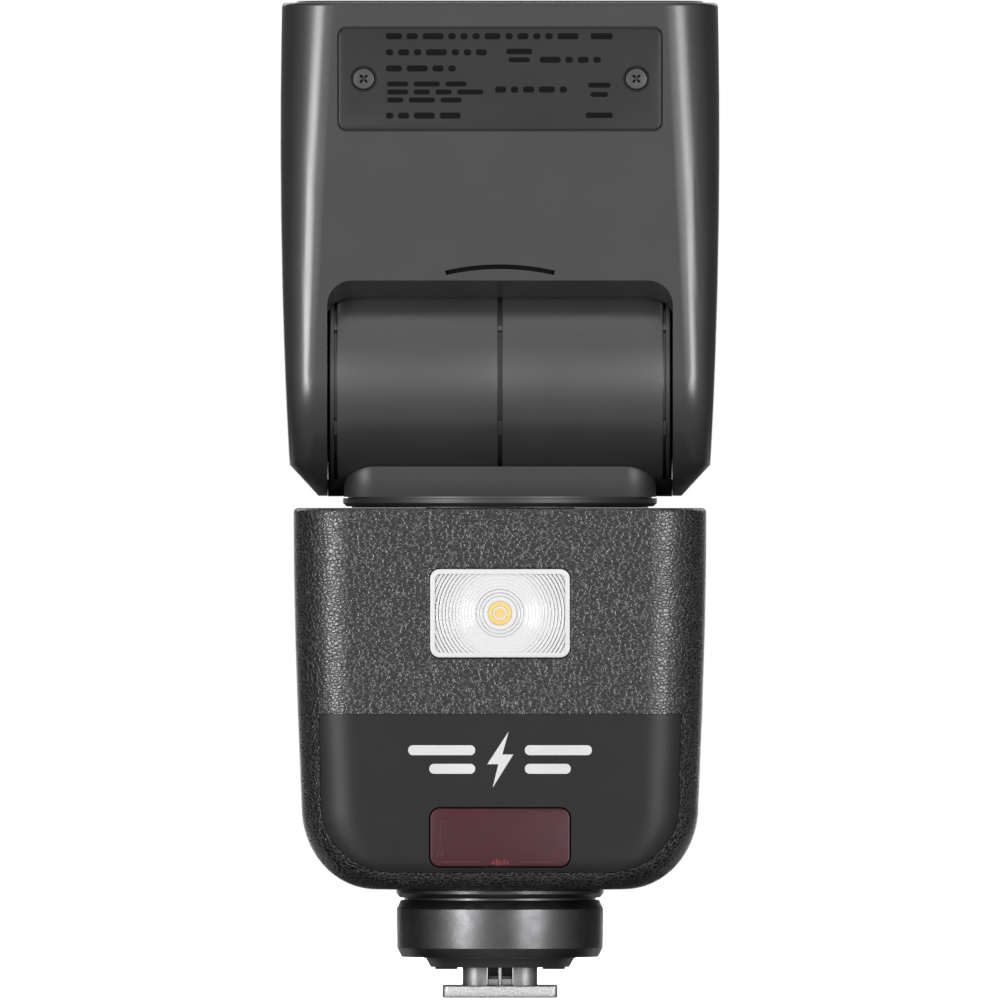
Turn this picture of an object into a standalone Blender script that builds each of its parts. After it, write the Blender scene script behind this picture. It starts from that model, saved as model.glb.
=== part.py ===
"""A speedlight flash for a camera's hot shoe, as an assembly of 60 separate pieces.

Blender 4.5 script. The flash stands upright on its shoe foot with the head pointing straight up.
+Z is up, -Y is the side that faces the subject, and the origin is the centre of the foot's underside.
Every size below is in millimetres, and MM turns them into Blender's metres.
"""

import math

import bmesh
import bpy
from mathutils import Matrix, Vector

MM = 0.001
GAP = 0.2  # between pieces that meet face to face

# Shoe foot and its lock
FOOT_WIDTH, FOOT_LENGTH, FOOT_THICK = 18.6, 18.0, 1.9
STEM_HALF_X, STEM_FRONT, STEM_BACK, STEM_TOP = 6.05, -4.7, 7.2, 6.9
CHANNEL_HALF_X = 2.1
PIN_Y, PIN_RADIUS = -6.6, 0.9
CLAMP_BOTTOM, CLAMP_RIM, CLAMP_TOP = 4.86, 6.3, 12.0
RING_RADIUS, RING_BOTTOM, RING_TOP = 16.76, 6.5, 15.7
FLANGE_BOTTOM, FLANGE_TOP = 16.1, 17.4
SPINDLE_RADIUS = 8.6

# Control body
BODY_BOTTOM, BODY_TOP = 17.57, 79.1
BODY_FRONT, BODY_BACK = -27.5, 26.3
BODY_CORNER, BODY_WALL = 9.5, 2.4
FOOT_FLAT_HALF_X = 20.0  # half the flat width of the body's underside
LOWER_CORNER_X, LOWER_CORNER_Z = 12.0, 13.4  # the big lower corners, an ellipse's quarter
LOWER_EDGE = 5.0  # rounding of the front and back lower edges
WAIST_Z = BODY_BOTTOM + LOWER_CORNER_Z
SEAM_Y = 0.0

# Windows in the front of the body
WINDOW_HALF_X, WINDOW_CORNER = 11.3, 1.6
LIGHT_LOW, LIGHT_HIGH = 55.0, 69.3
ASSIST_LOW, ASSIST_HIGH = 21.2, 30.5
PANEL_TOP = 45.9
PANEL_THICK, PANEL_POCKET = 1.2, 1.5

# Controls on the back
DIAL_Z, DIAL_RADIUS, DIAL_FACE = 30.0, 9.2, 27.5
BUTTON_X, BUTTON_HIGH_Z, BUTTON_LOW_Z, BUTTON_RADIUS = 18.5, 35.0, 25.5, 2.8
SWITCH_TRAVEL = 4.0
SCREEN_HALF_X, SCREEN_LOW, SCREEN_HIGH = 24.5, 42.5, 75.0

# Battery and ports in the sides
BATTERY_LOW, BATTERY_HIGH = (-29.5, -7.5, 24.5), (22.0, 13.5, 61.5)
PORT_FRONT, PORT_BACK, PORT_LOW, PORT_HIGH = -4.0, 10.0, 28.0, 52.0

# Neck, which pans on the body
DISC_RADIUS, DISC_BOTTOM, DISC_TOP = 25.4, 79.35, 80.7
HUB_RADIUS, HUB_BORE = 12.0, 8.0
NECK_HALF_X, NECK_HALF_Y, NECK_FOOT_HALF_Y, NECK_CORNER = 25.2, 11.06, 12.2, 4.2

# Barrel, on which the head tilts
TILT_Z = 101.0
DRUM_RADIUS, DRUM_HALF_X, DRUM_CLEAR = 18.8, 27.45, 19.2
AXLE_RADIUS, AXLE_HALF_X = 5.0, 31.6

# Head
HEAD_BOTTOM, HEAD_TOP = 81.0, 160.7
HEAD_FRONT, HEAD_BACK, HINGE_RADIUS = -20.0, 24.5, 20.0
HEAD_WALL = 2.0
CHAMFER_TOP_Z, CHAMFER_TOP_X, CHAMFER_LOW_X = 86.1, 34.0, 29.3
WIDEST_Z, WIDEST_X = 138.5, 35.45
FORK_HALF_X, CHEEK = 27.9, 2.0
FORK_TOP_FRONT, FORK_TOP_BACK = 115.8, 94.4
CAVITY_FLOOR = 121.6
COVER_HALF_X, COVER_LOW, COVER_HIGH = 26.0, 140.1, 156.5
SCREW_X, SCREW_Z, SCREW_RADIUS = 22.0, 148.35, 1.8
LENS_HALF_X, LENS_FRONT, LENS_BACK = 30.2, -15.4, 16.2

MATERIALS = {  # name: (red, green, blue), roughness, metallic
    "satin_plastic": ((0.075, 0.075, 0.077), 0.42, 0.0),
    "grained_plastic": ((0.05, 0.05, 0.052), 0.55, 0.0),
    "smooth_panel": ((0.03, 0.03, 0.031), 0.35, 0.0),
    "anodised_metal": ((0.06, 0.06, 0.063), 0.35, 0.8),
    "foot_metal": ((0.8, 0.8, 0.8), 0.3, 1.0),
    "steel": ((0.55, 0.55, 0.57), 0.3, 1.0),
    "black_plastic": ((0.012, 0.012, 0.013), 0.5, 0.0),
    "rubber": ((0.02, 0.02, 0.02), 0.8, 0.0),
    "clear_lens": ((0.9, 0.91, 0.93), 0.1, 0.0),
    "red_window": ((0.1, 0.008, 0.014), 0.12, 0.0),
    "white_plastic": ((0.85, 0.85, 0.85), 0.4, 0.0),
    "reflector_metal": ((0.9, 0.9, 0.92), 0.1, 1.0),
    "led_phosphor": ((0.9, 0.6, 0.12), 0.5, 0.0),
    "glass": ((0.01, 0.01, 0.012), 0.06, 0.0),
    "gold": ((0.85, 0.6, 0.25), 0.25, 1.0),
    "board": ((0.01, 0.09, 0.04), 0.5, 0.0),
    "battery_wrap": ((0.02, 0.03, 0.06), 0.45, 0.0),
}

TO_AXIS = {  # turns the local XY plane to face each world axis, local Z along it
    "X": Matrix(((0, 0, 1), (1, 0, 0), (0, 1, 0))),
    "Y": Matrix(((1, 0, 0), (0, 0, -1), (0, 1, 0))),
    "Z": Matrix.Identity(3),
}


# ---------------------------------------------------------------- scene and objects


def start_scene():
    """An empty scene with one collection for the parts and one for the cutters."""
    for obj in list(bpy.data.objects):
        bpy.data.objects.remove(obj)
    made = {}
    for name in ("speedlight_flash", "cutters"):
        made[name] = bpy.data.collections.new(name)
        bpy.context.scene.collection.children.link(made[name])
    return made


COLLECTIONS = start_scene()


def material(name):
    """The named material, made the first time it is asked for."""
    found = bpy.data.materials.get(name)
    if found:
        return found
    colour, roughness, metallic = MATERIALS[name]
    made = bpy.data.materials.new(name)
    made.use_nodes = True
    shader = made.node_tree.nodes["Principled BSDF"]
    shader.inputs["Base Color"].default_value = (*colour, 1.0)
    shader.inputs["Roughness"].default_value = roughness
    shader.inputs["Metallic"].default_value = metallic
    return made


def add_object(name, mesh, finish):
    """Links a mesh as a part with a finish, or as a hidden cutter where finish is None."""
    obj = bpy.data.objects.new(name, mesh)
    if finish is None:
        obj.hide_render = True
        obj.display_type = "WIRE"
        COLLECTIONS["cutters"].objects.link(obj)
    else:
        mesh.materials.append(material(finish))
        COLLECTIONS["speedlight_flash"].objects.link(obj)
    return obj


def object_from(bm, name, finish):
    """A part or cutter from a bmesh drawn in millimetres."""
    bmesh.ops.recalc_face_normals(bm, faces=bm.faces)
    bmesh.ops.scale(bm, vec=(MM, MM, MM), verts=bm.verts)
    mesh = bpy.data.meshes.new(name)
    bm.to_mesh(mesh)
    bm.free()
    return add_object(name, mesh, finish)


def boolean(target, tool, operation):
    modifier = target.modifiers.new(f"{operation.lower()}_{tool.name}", "BOOLEAN")
    modifier.operation = operation
    modifier.object = tool


def cut(target, *tools):
    for tool in tools:
        boolean(target, tool, "DIFFERENCE")
    return target


def join(target, *tools):
    for tool in tools:
        boolean(target, tool, "UNION")
    return target


def keep_inside(target, tool):
    boolean(target, tool, "INTERSECT")
    return target


def set_origin(obj, point):
    """Moves the object's origin to a point in millimetres, and leaves its shape where it is."""
    offset = Vector(point) * MM - obj.location
    obj.data.transform(Matrix.Translation(-offset))
    obj.location = obj.location + offset
    return obj


def joint_empty(name, point):
    """An empty on a joint's axis, which the pieces that move with it are parented to."""
    empty = bpy.data.objects.new(name, None)
    empty.empty_display_size = 5 * MM
    COLLECTIONS["speedlight_flash"].objects.link(empty)
    empty.location = Vector(point) * MM
    return empty


def hold(parent, *objects):
    """Parents the objects to an empty, and leaves them where they are."""
    for obj in objects:
        obj.parent = parent
        obj.matrix_parent_inverse = Matrix.Translation(-parent.location)


# ---------------------------------------------------------------- basic shapes


def block(name, low, high, finish=None, round_axis=None, radius=0.0, steps=3):
    """A box between two corners. With round_axis, the four edges along that axis are rounded."""
    low, high = Vector(low), Vector(high)
    size = high - low
    bm = bmesh.new()
    place = Matrix.Translation((low + high) / 2) @ Matrix.Diagonal((*size, 1.0))
    bmesh.ops.create_cube(bm, size=1.0, matrix=place)
    if round_axis:
        along = "XYZ".index(round_axis)
        edges = [e for e in bm.edges if abs((e.verts[0].co - e.verts[1].co)[along]) > size[along] / 2]
        bmesh.ops.bevel(bm, geom=edges, offset=radius, segments=steps, profile=0.5, affect="EDGES")
    return object_from(bm, name, finish)


def rod(name, axis, centre, start, end, radius, finish=None, segments=20, end_radius=None):
    """A cylinder along a world axis, or a cone where end_radius differs. centre is any point on its line."""
    along = "XYZ".index(axis)
    middle = Vector(centre)
    middle[along] = (start + end) / 2
    bm = bmesh.new()
    bmesh.ops.create_cone(
        bm,
        cap_ends=True,
        segments=segments,
        radius1=radius,
        radius2=radius if end_radius is None else end_radius,
        depth=end - start,
        matrix=Matrix.Translation(middle) @ TO_AXIS[axis].to_4x4(),
    )
    return object_from(bm, name, finish)


def turned(name, axis, centre, profile, finish=None, steps=48):
    """A turned shape. The profile holds (radius, distance along the axis) points down its outer side.

    It closes on itself, unless it starts and ends on the axis.
    """
    bm = bmesh.new()
    points = [bm.verts.new((radius, 0.0, along)) for radius, along in profile]
    for first, second in zip(points, points[1:]):
        bm.edges.new((first, second))
    if profile[0][0] > 0:
        bm.edges.new((points[-1], points[0]))
    bmesh.ops.scale(bm, vec=(MM, MM, MM), verts=bm.verts)
    mesh = bpy.data.meshes.new(name)
    bm.to_mesh(mesh)
    bm.free()
    obj = add_object(name, mesh, finish)
    screw = obj.modifiers.new("turn", "SCREW")
    screw.steps = screw.render_steps = steps
    screw.use_merge_vertices = True
    screw.merge_threshold = 0.000001
    obj.location = Vector(centre) * MM
    turn = {"X": (0, math.pi / 2, 0), "Y": (-math.pi / 2, 0, 0), "Z": (0, 0, 0)}
    obj.rotation_euler = turn[axis]
    return obj


def plate(name, axis, outline, low, high, finish=None):
    """A flat outline with thickness along a world axis. It is drawn in (Y, Z), (X, Z) or (X, Y)."""
    curve = bpy.data.curves.new(name, "CURVE")
    curve.dimensions = "2D"
    curve.fill_mode = "BOTH"
    curve.extrude = (high - low) / 2
    spline = curve.splines.new("POLY")
    spline.points.add(len(outline) - 1)
    for point, (across, up) in zip(spline.points, outline):
        point.co = (across, up, 0.0, 1.0)
    spline.use_cyclic_u = True
    drawn = bpy.data.objects.new(name, curve)
    bpy.context.scene.collection.objects.link(drawn)
    bpy.context.view_layer.update()
    flat = bpy.data.meshes.new_from_object(drawn.evaluated_get(bpy.context.evaluated_depsgraph_get()))
    bm = bmesh.new()
    bm.from_mesh(flat)
    bpy.data.objects.remove(drawn)
    bpy.data.meshes.remove(flat)
    bmesh.ops.remove_doubles(bm, verts=bm.verts, dist=0.0001)
    bmesh.ops.transform(bm, matrix=TO_AXIS[axis].to_4x4(), verts=bm.verts)
    middle = Vector((0, 0, 0))
    middle["XYZ".index(axis)] = (low + high) / 2
    bmesh.ops.translate(bm, vec=middle, verts=bm.verts)
    return object_from(bm, name, finish)


def loft(name, sections, finish=None):
    """One closed surface through rings that all have the same number of points."""
    bm = bmesh.new()
    rings = [[bm.verts.new(point) for point in section] for section in sections]
    count = len(rings[0])
    for lower, upper in zip(rings, rings[1:]):
        for i in range(count):
            j = (i + 1) % count
            bm.faces.new((lower[i], lower[j], upper[j], upper[i]))
    bm.faces.new(rings[0])
    bm.faces.new(rings[-1])
    return object_from(bm, name, finish)


def arc(centre, radii, start, end, steps):
    """Points on an ellipse's arc. Angles are in degrees, from the first axis towards the second."""
    found = []
    for step in range(steps + 1):
        angle = math.radians(start + (end - start) * step / steps)
        found.append((centre[0] + radii[0] * math.cos(angle), centre[1] + radii[1] * math.sin(angle)))
    return found


def rounded_rectangle(low, high, radius, steps=4):
    """A rounded rectangle's outline, anticlockwise from its right-hand side."""
    inner = ((high[0] - radius, low[1] + radius), (high[0] - radius, high[1] - radius),
             (low[0] + radius, high[1] - radius), (low[0] + radius, low[1] + radius))
    found = []
    for corner, centre in enumerate(inner):
        start = 90 * corner - 90
        found += arc(centre, (radius, radius), start, start + 90, steps)
    return found


def mirrored_pair(make, name):
    """Calls make(name_left, -1) and make(name_right, +1), for the two sides of X."""
    return make(f"{name}_left", -1), make(f"{name}_right", 1)


# ---------------------------------------------------------------- outer forms


def level_ring(half_x, front, back, radius, z):
    outline = rounded_rectangle((-half_x, front), (half_x, back), radius)
    return [(x, y, z) for x, y in outline]


def body_form(name, inset=0.0, top=BODY_TOP, finish=None):
    """The control body's outer form, or the form a wall's thickness inside it."""
    rings = []
    span_x, span_z = LOWER_CORNER_X, LOWER_CORNER_Z - inset
    for angle in (0, 14, 28, 42, 56, 72, 90):
        turn = math.radians(angle)
        rise = span_z * (1 - math.cos(turn))
        edge = LOWER_EDGE - inset
        tuck = 0.0 if rise >= edge else edge - math.sqrt(edge**2 - (edge - rise) ** 2)
        half_x = FOOT_FLAT_HALF_X + (span_x - inset) * math.sin(turn)
        rings.append((half_x, tuck, BODY_BOTTOM + inset + rise))
    flare = 1.3  # how much wider each side is at the top than at the waist
    edge = 0.7 if inset == 0.0 else 0.0
    for share in (0.35, 0.7, 1.0):
        z = WAIST_Z + (top - edge - WAIST_Z) * share
        wide = FOOT_FLAT_HALF_X + LOWER_CORNER_X - inset + flare * math.sin(share * math.pi / 2)
        rings.append((wide, 0.0, z))
    if edge:
        rings += [(wide - edge * 0.3, edge * 0.3, top - edge * 0.3), (wide - edge, edge, top)]
    front, back, corner = BODY_FRONT + inset, BODY_BACK - inset, BODY_CORNER - inset
    return loft(name, [level_ring(x, front + t, back - t, corner - t * 0.4, z) for x, t, z in rings], finish)


def head_half_x(z):
    """Half the head's width at a height: a chamfer at the hinge end, then a gentle barrel."""
    if z < CHAMFER_TOP_Z:
        share = (z - HEAD_BOTTOM) / (CHAMFER_TOP_Z - HEAD_BOTTOM)
        return CHAMFER_LOW_X + (CHAMFER_TOP_X - CHAMFER_LOW_X) * share
    if z < WIDEST_Z:
        share = (WIDEST_Z - z) / (WIDEST_Z - CHAMFER_TOP_Z)
        return WIDEST_X - (WIDEST_X - CHAMFER_TOP_X) * share**2
    return WIDEST_X - 0.25 * ((z - WIDEST_Z) / (HEAD_TOP - WIDEST_Z)) ** 2


def head_ring(z, inset=0.0, tuck=0.0):
    """The head's outline at a height: round the hinge below TILT_Z, flat in front and fuller behind above it."""
    reach = HINGE_RADIUS - inset
    if z < TILT_Z:
        front = back = math.sqrt(max(reach**2 - (TILT_Z - z) ** 2, 1.0))
    else:
        rise = min(1.0, (z - TILT_Z) / 28.0)
        front = reach
        back = reach + (HEAD_BACK - HINGE_RADIUS) * rise**2 * (3 - 2 * rise)
    corner = 5.5 + 2.5 * (z - 104.5) / 53.5 - inset * 0.6
    corner = min(corner, 0.9 * front)
    half_x = head_half_x(z) - inset - tuck
    return level_ring(half_x, tuck - front, back - tuck, corner - tuck, z)


def head_form(name, inset=0.0, top=HEAD_TOP, finish=None):
    """The head's outer form, or the form a wall's thickness inside it."""
    low = HINGE_RADIUS - inset
    swept = [TILT_Z - low * math.cos(math.radians(a)) for a in (5, 13, 21, 29, 36, 41.8, 52, 64, 77)]
    levels = [(z, 0.0) for z in swept + [TILT_Z, 107.0, 113.0, 119.0, 126.0, 135.0, 148.0]]
    if inset == 0.0:
        levels += [(top - 0.6, 0.0), (top - 0.18, 0.18), (top, 0.6)]
    else:
        levels += [(top, 0.0)]
    return loft(name, [head_ring(z, inset, tuck) for z, tuck in levels], finish)


# ---------------------------------------------------------------- shoe foot and lock


def shoe_foot():
    """The metal foot: a plate that slides into the camera's shoe, and a slotted stem above it."""
    half_x, half_y = FOOT_WIDTH / 2, FOOT_LENGTH / 2
    foot = block("shoe_foot", (-half_x, -half_y, 0), (half_x, half_y, FOOT_THICK), "foot_metal", "Z", 1.0)
    stem = block("stem", (-STEM_HALF_X, STEM_FRONT, FOOT_THICK - 0.4), (STEM_HALF_X, STEM_BACK, STEM_TOP),
                 None, "Z", 1.6)
    channel = block("channel", (-CHANNEL_HALF_X, -12, FOOT_THICK), (CHANNEL_HALF_X, 12, 9))
    pocket = block("contact_pocket", (-5.2, -4.6, -1), (5.2, 6.2, 1.3))
    pin_hole = rod("foot_pin_hole", "Z", (0, PIN_Y, 0), -2, 4, PIN_RADIUS + 0.3, segments=16)
    return cut(join(foot, stem), channel, pocket, pin_hole)


CONTACTS = [(0.0, 0.8), (-3.4, -2.2), (3.4, -2.2), (-3.4, 3.8), (3.4, 3.8)]


def contact_block():
    """The plastic insert in the foot's underside, with a hole for each contact."""
    insert = block("contact_block", (-5.0, -4.4, 0), (5.0, 6.0, 0.6), "black_plastic", "Z", 0.6, 2)
    for number, (x, y) in enumerate(CONTACTS):
        cut(insert, rod(f"contact_hole_{number}", "Z", (x, y, 0), -1, 2, 1.05, segments=10))
    return insert


def shoe_contacts():
    """The contacts' spring pins on the small board that carries them."""
    carrier = block("shoe_contacts", (-4.9, -4.3, 0.75), (4.9, 5.9, 1.1), "gold")
    for number, (x, y) in enumerate(CONTACTS):
        join(carrier, rod(f"contact_pin_{number}", "Z", (x, y, 0), 0.08, 0.9, 0.8, segments=8))
    return carrier


def contact_riser():
    """The plastic duct in the stem's channel that leads the contacts' wires up."""
    riser = block("contact_riser", (-1.75, -4.2, FOOT_THICK + 0.15), (1.75, 6.8, STEM_TOP), "black_plastic")
    return cut(riser, block("riser_slit", (-0.25, -12, 3.0), (0.25, 12, 5.6)))


def foot_spindle():
    """The fixed spindle that carries the foot, with a flange that the body's two shells hold."""
    spindle = turned("foot_spindle", "Z", (0, 0, 0), [
        (14.0, 21.7), (14.0, 20.2), (SPINDLE_RADIUS, 20.2), (SPINDLE_RADIUS, STEM_TOP + 0.15),
        (3.0, STEM_TOP + 0.15), (3.0, 21.7)], "steel", 32)
    bore = rod("pin_bore", "Z", (0, PIN_Y, 0), 5, 13, PIN_RADIUS + 0.3, segments=16)
    return cut(spindle, bore)


def shoe_flange():
    """The fixed ring under the body that the lock ring turns against."""
    return turned("shoe_flange", "Z", (0, 0, 0), [
        (RING_RADIUS, FLANGE_TOP), (RING_RADIUS, 16.76), (16.2, FLANGE_BOTTOM),
        (9.0, FLANGE_BOTTOM), (9.0, FLANGE_TOP)], "anodised_metal", 40)


def lock_ring():
    """The ring that a hand turns a sixth of a turn to clamp the foot in the shoe."""
    return turned("lock_ring", "Z", (0, 0, 0), [
        (16.05, RING_TOP), (RING_RADIUS, 14.26), (16.65, 7.96), (15.9, RING_BOTTOM),
        (12.9, RING_BOTTOM), (12.9, 13.6), (9.0, 13.6), (9.0, RING_TOP)], "anodised_metal", 40)


def clamp_plate():
    """The plate that the lock ring drives down onto the camera's shoe, with its threaded sleeve."""
    clamp = turned("clamp_plate", "Z", (0, 0, 0), [
        (12.3, CLAMP_TOP), (12.3, CLAMP_RIM), (12.0, CLAMP_RIM), (11.2, CLAMP_BOTTOM),
        (5.0, CLAMP_BOTTOM), (5.0, CLAMP_RIM), (9.1, CLAMP_RIM), (9.1, CLAMP_TOP)], "black_plastic", 32)
    return cut(clamp, block("stem_opening", (-6.35, -8.0, 4), (6.35, 8.0, CLAMP_RIM + 0.5)))


def clamp_pad(name, side):
    """A rubber pad under the clamp plate, beside the stem."""
    low, high = sorted((side * 6.9, side * 10.5))
    return block(name, (low, -2.4, 4.5), (high, 2.4, CLAMP_BOTTOM - 0.03), "rubber", "Z", 0.8, 2)


def lock_pin():
    """The pin that drops from the foot into the camera shoe's locating hole."""
    pin = turned("lock_pin", "Z", (0, PIN_Y, 0), [
        (0, 10.8), (PIN_RADIUS, 10.8), (PIN_RADIUS, 0.6), (0.5, 0.12), (0, 0.12)], "steel", 16)
    return pin


# ---------------------------------------------------------------- control body


def panel_outline(grow=0.0):
    """The smooth lower front panel's outline, which follows the body's outline inside it."""
    side, low = 28.8 + grow, 20.4 - grow
    corner_x, corner_z = 17.0, 31.0
    radii = (side - corner_x, corner_z - low)
    right = arc((corner_x, corner_z), radii, -90, 0, 8)
    right += [(side + 0.35, PANEL_TOP + grow)]
    return right + [(-x, z) for x, z in reversed(right)]


def window(name, low, high, front, back, grow=0.0, finish=None):
    """A rounded window of the body's front, or the opening for it where grow is above 0."""
    return block(name, (-WINDOW_HALF_X - grow, front, low - grow), (WINDOW_HALF_X + grow, back, high + grow),
                 finish, "Y", WINDOW_CORNER + grow, 5)


def body_shells():
    """The two halves of the control body's casing, which close round the spindle and the neck's hub."""
    cavity_top = BODY_TOP - 2.0
    shared = [
        body_form("body_cavity", BODY_WALL, cavity_top),
        rod("spindle_hole", "Z", (0, 0, 0), 15, 21, 9.0, segments=32),
        rod("hub_hole", "Z", (0, 0, 0), 75, 82, HUB_RADIUS + 0.5, segments=32),
        block("battery_opening", (-40, BATTERY_LOW[1] - 0.5, BATTERY_LOW[2] - 0.5),
              (-20, BATTERY_HIGH[1] + 0.5, BATTERY_HIGH[2] + 0.5), None, "X", 2.5),
        port_pocket(),
        block("usb_opening", (26, -1.7, 44.1), (34, 7.7, 47.9)),
        rod("jack_opening", "X", (0, 3.0, 35.0), 26, 34, 3.1),
    ]
    front_only = [
        cut(plate("panel_pocket", "Y", panel_outline(0.15), -40, 0), body_form("pocket_floor", PANEL_POCKET)),
        window("light_opening", LIGHT_LOW, LIGHT_HIGH, -30, -20, 0.15),
        window("assist_opening", ASSIST_LOW, ASSIST_HIGH, -30, -20, 0.15),
        block("release_opening", (-36, -13.2, 37.8), (-26, -9.8, 48.2), None, "X", 1.0, 2),
    ]
    back_only = [
        rod("dial_recess", "Y", (0, 0, DIAL_Z), 25.0, 30, DIAL_RADIUS + 0.4, segments=40),
        rod("dial_bore", "Y", (0, 0, DIAL_Z), 20, 30, 6.3),
        block("screen_pocket", (-SCREEN_HALF_X - 0.15, 24.9, SCREEN_LOW - 0.15),
              (SCREEN_HALF_X + 0.15, 30, SCREEN_HIGH + 0.15), None, "Y", 2.6),
        block("screen_opening", (-22, 20, 45), (22, 30, 72.5)),
        block("switch_recess", (13.0, 24.7, 23.7), (24.0, 30, 27.3), None, "Y", 1.7),
        block("switch_slot", (15.3, 20, 24.7), (21.7, 30, 26.3)),
    ]
    for number, (x, z) in enumerate(button_places()):
        back_only.append(rod(f"button_hole_{number}", "Y", (x, 0, z), 20, 30, BUTTON_RADIUS + 0.2))
    shells = []
    for name, far_side, own in (("body_front_shell", 1, front_only), ("body_rear_shell", -1, back_only)):
        shell = body_form(name, finish="grained_plastic")
        low, high = sorted((SEAM_Y - far_side * GAP / 2, far_side * 60))
        cut(shell, *shared, *own, block(f"{name}_half", (-60, low, 0), (60, high, 100)))
        shells.append(shell)
    return shells


def front_panel():
    """The smooth panel set into the lower front of the casing, with the assist lamp's opening."""
    panel = plate("front_panel", "Y", panel_outline(), -40, -8, "smooth_panel")
    keep_inside(panel, body_form("panel_face"))
    cut(panel, body_form("panel_back", PANEL_THICK))
    return cut(panel, window("panel_opening", ASSIST_LOW, ASSIST_HIGH, -30, -20, 0.15))


def front_windows():
    window("modelling_lens", LIGHT_LOW, LIGHT_HIGH, BODY_FRONT, -25.2, 0.0, "clear_lens")
    window("assist_window", ASSIST_LOW, ASSIST_HIGH, BODY_FRONT + 0.1, -25.4, 0.0, "red_window")


def modelling_lamp():
    """The modelling light's white housing and the LED at its back."""
    housing = block("modelling_housing", (-11, -24.7, 55.4), (11, -13.8, 68.9), "white_plastic")
    bowl = loft("housing_bowl", [
        [(x, y, z) for x, z in rounded_rectangle((-half_x, 62.15 - half_z), (half_x, 62.15 + half_z), corner)]
        for y, half_x, half_z, corner in ((-30, 10.3, 6.1, 1.2), (-24.7, 10.3, 6.1, 1.2), (-15.6, 3.4, 3.0, 1.0))])
    cut(housing, bowl)
    block("modelling_led", (-2.5, -16.9, 59.65), (2.5, -15.8, 64.65), "led_phosphor", "Y", 0.6, 2)
    return housing


def assist_module():
    """The focus assist lamp: a board with two emitters and a projecting lens."""
    module = block("assist_module", (-10.5, -17.6, 21.6), (10.5, -16.2, 30.2), "board")
    for number, x in enumerate((-8.4, 8.4)):
        join(module, rod(f"emitter_{number}", "Y", (x, 0, 24.4), -20.2, -17.0, 1.6, segments=16))
    return join(module, rod("projector", "Y", (0, 0, 25.8), -23.4, -17.0, 3.4, segments=20, end_radius=4.0))


def capacitor():
    """The flash's storage capacitor, across the body behind the front panel."""
    return turned("main_capacitor", "X", (0, -16.5, 41.0), [
        (0, 20.0), (6.2, 20.0), (7.0, 19.2), (7.0, -15.5), (6.5, -16.2), (7.0, -16.9), (7.0, -19.2),
        (6.2, -20.0), (0, -20.0)], "battery_wrap", 24)


def boards():
    """The main board behind the screen, and the charging board beside the battery."""
    main_board = block("main_board", (-27, 15.2, 24.2), (27, 16.8, 70.0), "board")
    join(main_board, block("processor", (-8, 16.2, 50), (4, 18.2, 62)),
         rod("encoder", "Y", (0, 0, DIAL_Z), 16.2, 19.0, 7.0))
    charge_board = block("charge_board", (23.2, -7.0, 24.5), (24.8, 13.0, 60.0), "board")
    join(charge_board, block("transformer", (24.2, -6.0, 52.0), (29.5, 4.0, 59.5)))


def usb_socket():
    """The USB-C charging socket, with its mouth at the right-hand side."""
    socket = block("usb_socket", (25.1, -1.5, 44.35), (30.8, 7.5, 47.65), "steel", "X", 1.5)
    mouth = block("usb_mouth", (26.0, -1.1, 44.75), (32, 7.1, 47.25), None, "X", 1.2)
    tongue = block("usb_tongue", (25.5, 0.0, 45.7), (30.0, 6.0, 46.3))
    return join(cut(socket, mouth), tongue)


def sync_jack():
    """The sync cord's jack, with its bore at the right-hand side."""
    return turned("sync_jack", "X", (0, 3.0, 35.0), [
        (0, 26.0), (1.25, 26.0), (1.25, 30.4), (2.9, 30.4), (2.9, 25.1), (0, 25.1)], "gold", 24)


def screen():
    """The touch screen's glass and the display module behind it."""
    block("display_glass", (-SCREEN_HALF_X, 25.1, SCREEN_LOW), (SCREEN_HALF_X, 26.2, SCREEN_HIGH),
          "glass", "Y", 2.5)
    block("display_module", (-23.5, 19.4, 43.8), (23.5, 23.6, 73.7), "black_plastic")


def button_places():
    """Centres of the menu, mode and test buttons on the back, as (x, z)."""
    return (BUTTON_X, BUTTON_HIGH_Z), (-BUTTON_X, BUTTON_HIGH_Z), (-BUTTON_X, BUTTON_LOW_Z)


def controls():
    """The dial, the buttons and the power switch on the body's back."""
    turned("control_dial", "Y", (0, 0, DIAL_Z), [
        (5.0, 27.3), (6.4, DIAL_FACE), (8.8, DIAL_FACE), (DIAL_RADIUS, 27.1), (DIAL_RADIUS, 25.3),
        (5.9, 25.3), (5.9, 20.0), (4.7, 20.0), (4.7, 26.9)], "black_plastic", 28)
    made = [turned("set_button", "Y", (0, 0, DIAL_Z), [
        (0, 26.9), (3.6, 26.9), (4.3, 26.5), (4.3, 24.4), (2.0, 24.4), (2.0, 19.9), (0, 19.9)],
        "black_plastic", 24)]
    for name, (x, z) in zip(("menu_button", "mode_button", "test_button"), button_places()):
        made.append(turned(name, "Y", (x, 0, z), [
            (0, 26.8), (2.3, 26.8), (BUTTON_RADIUS, 26.4), (BUTTON_RADIUS, 23.5), (3.5, 23.5),
            (3.5, 22.4), (0, 22.4)], "black_plastic", 20))
    knob = block("power_switch", (13.3, 25.0, 24.0), (19.3, 26.8, 27.0), "black_plastic", "Y", 1.4)
    join(knob, block("switch_leg", (15.6, 21.5, 24.95), (17.4, 25.6, 26.05)))
    set_origin(knob, (16.3, 25.9, 25.5))
    return made


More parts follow.
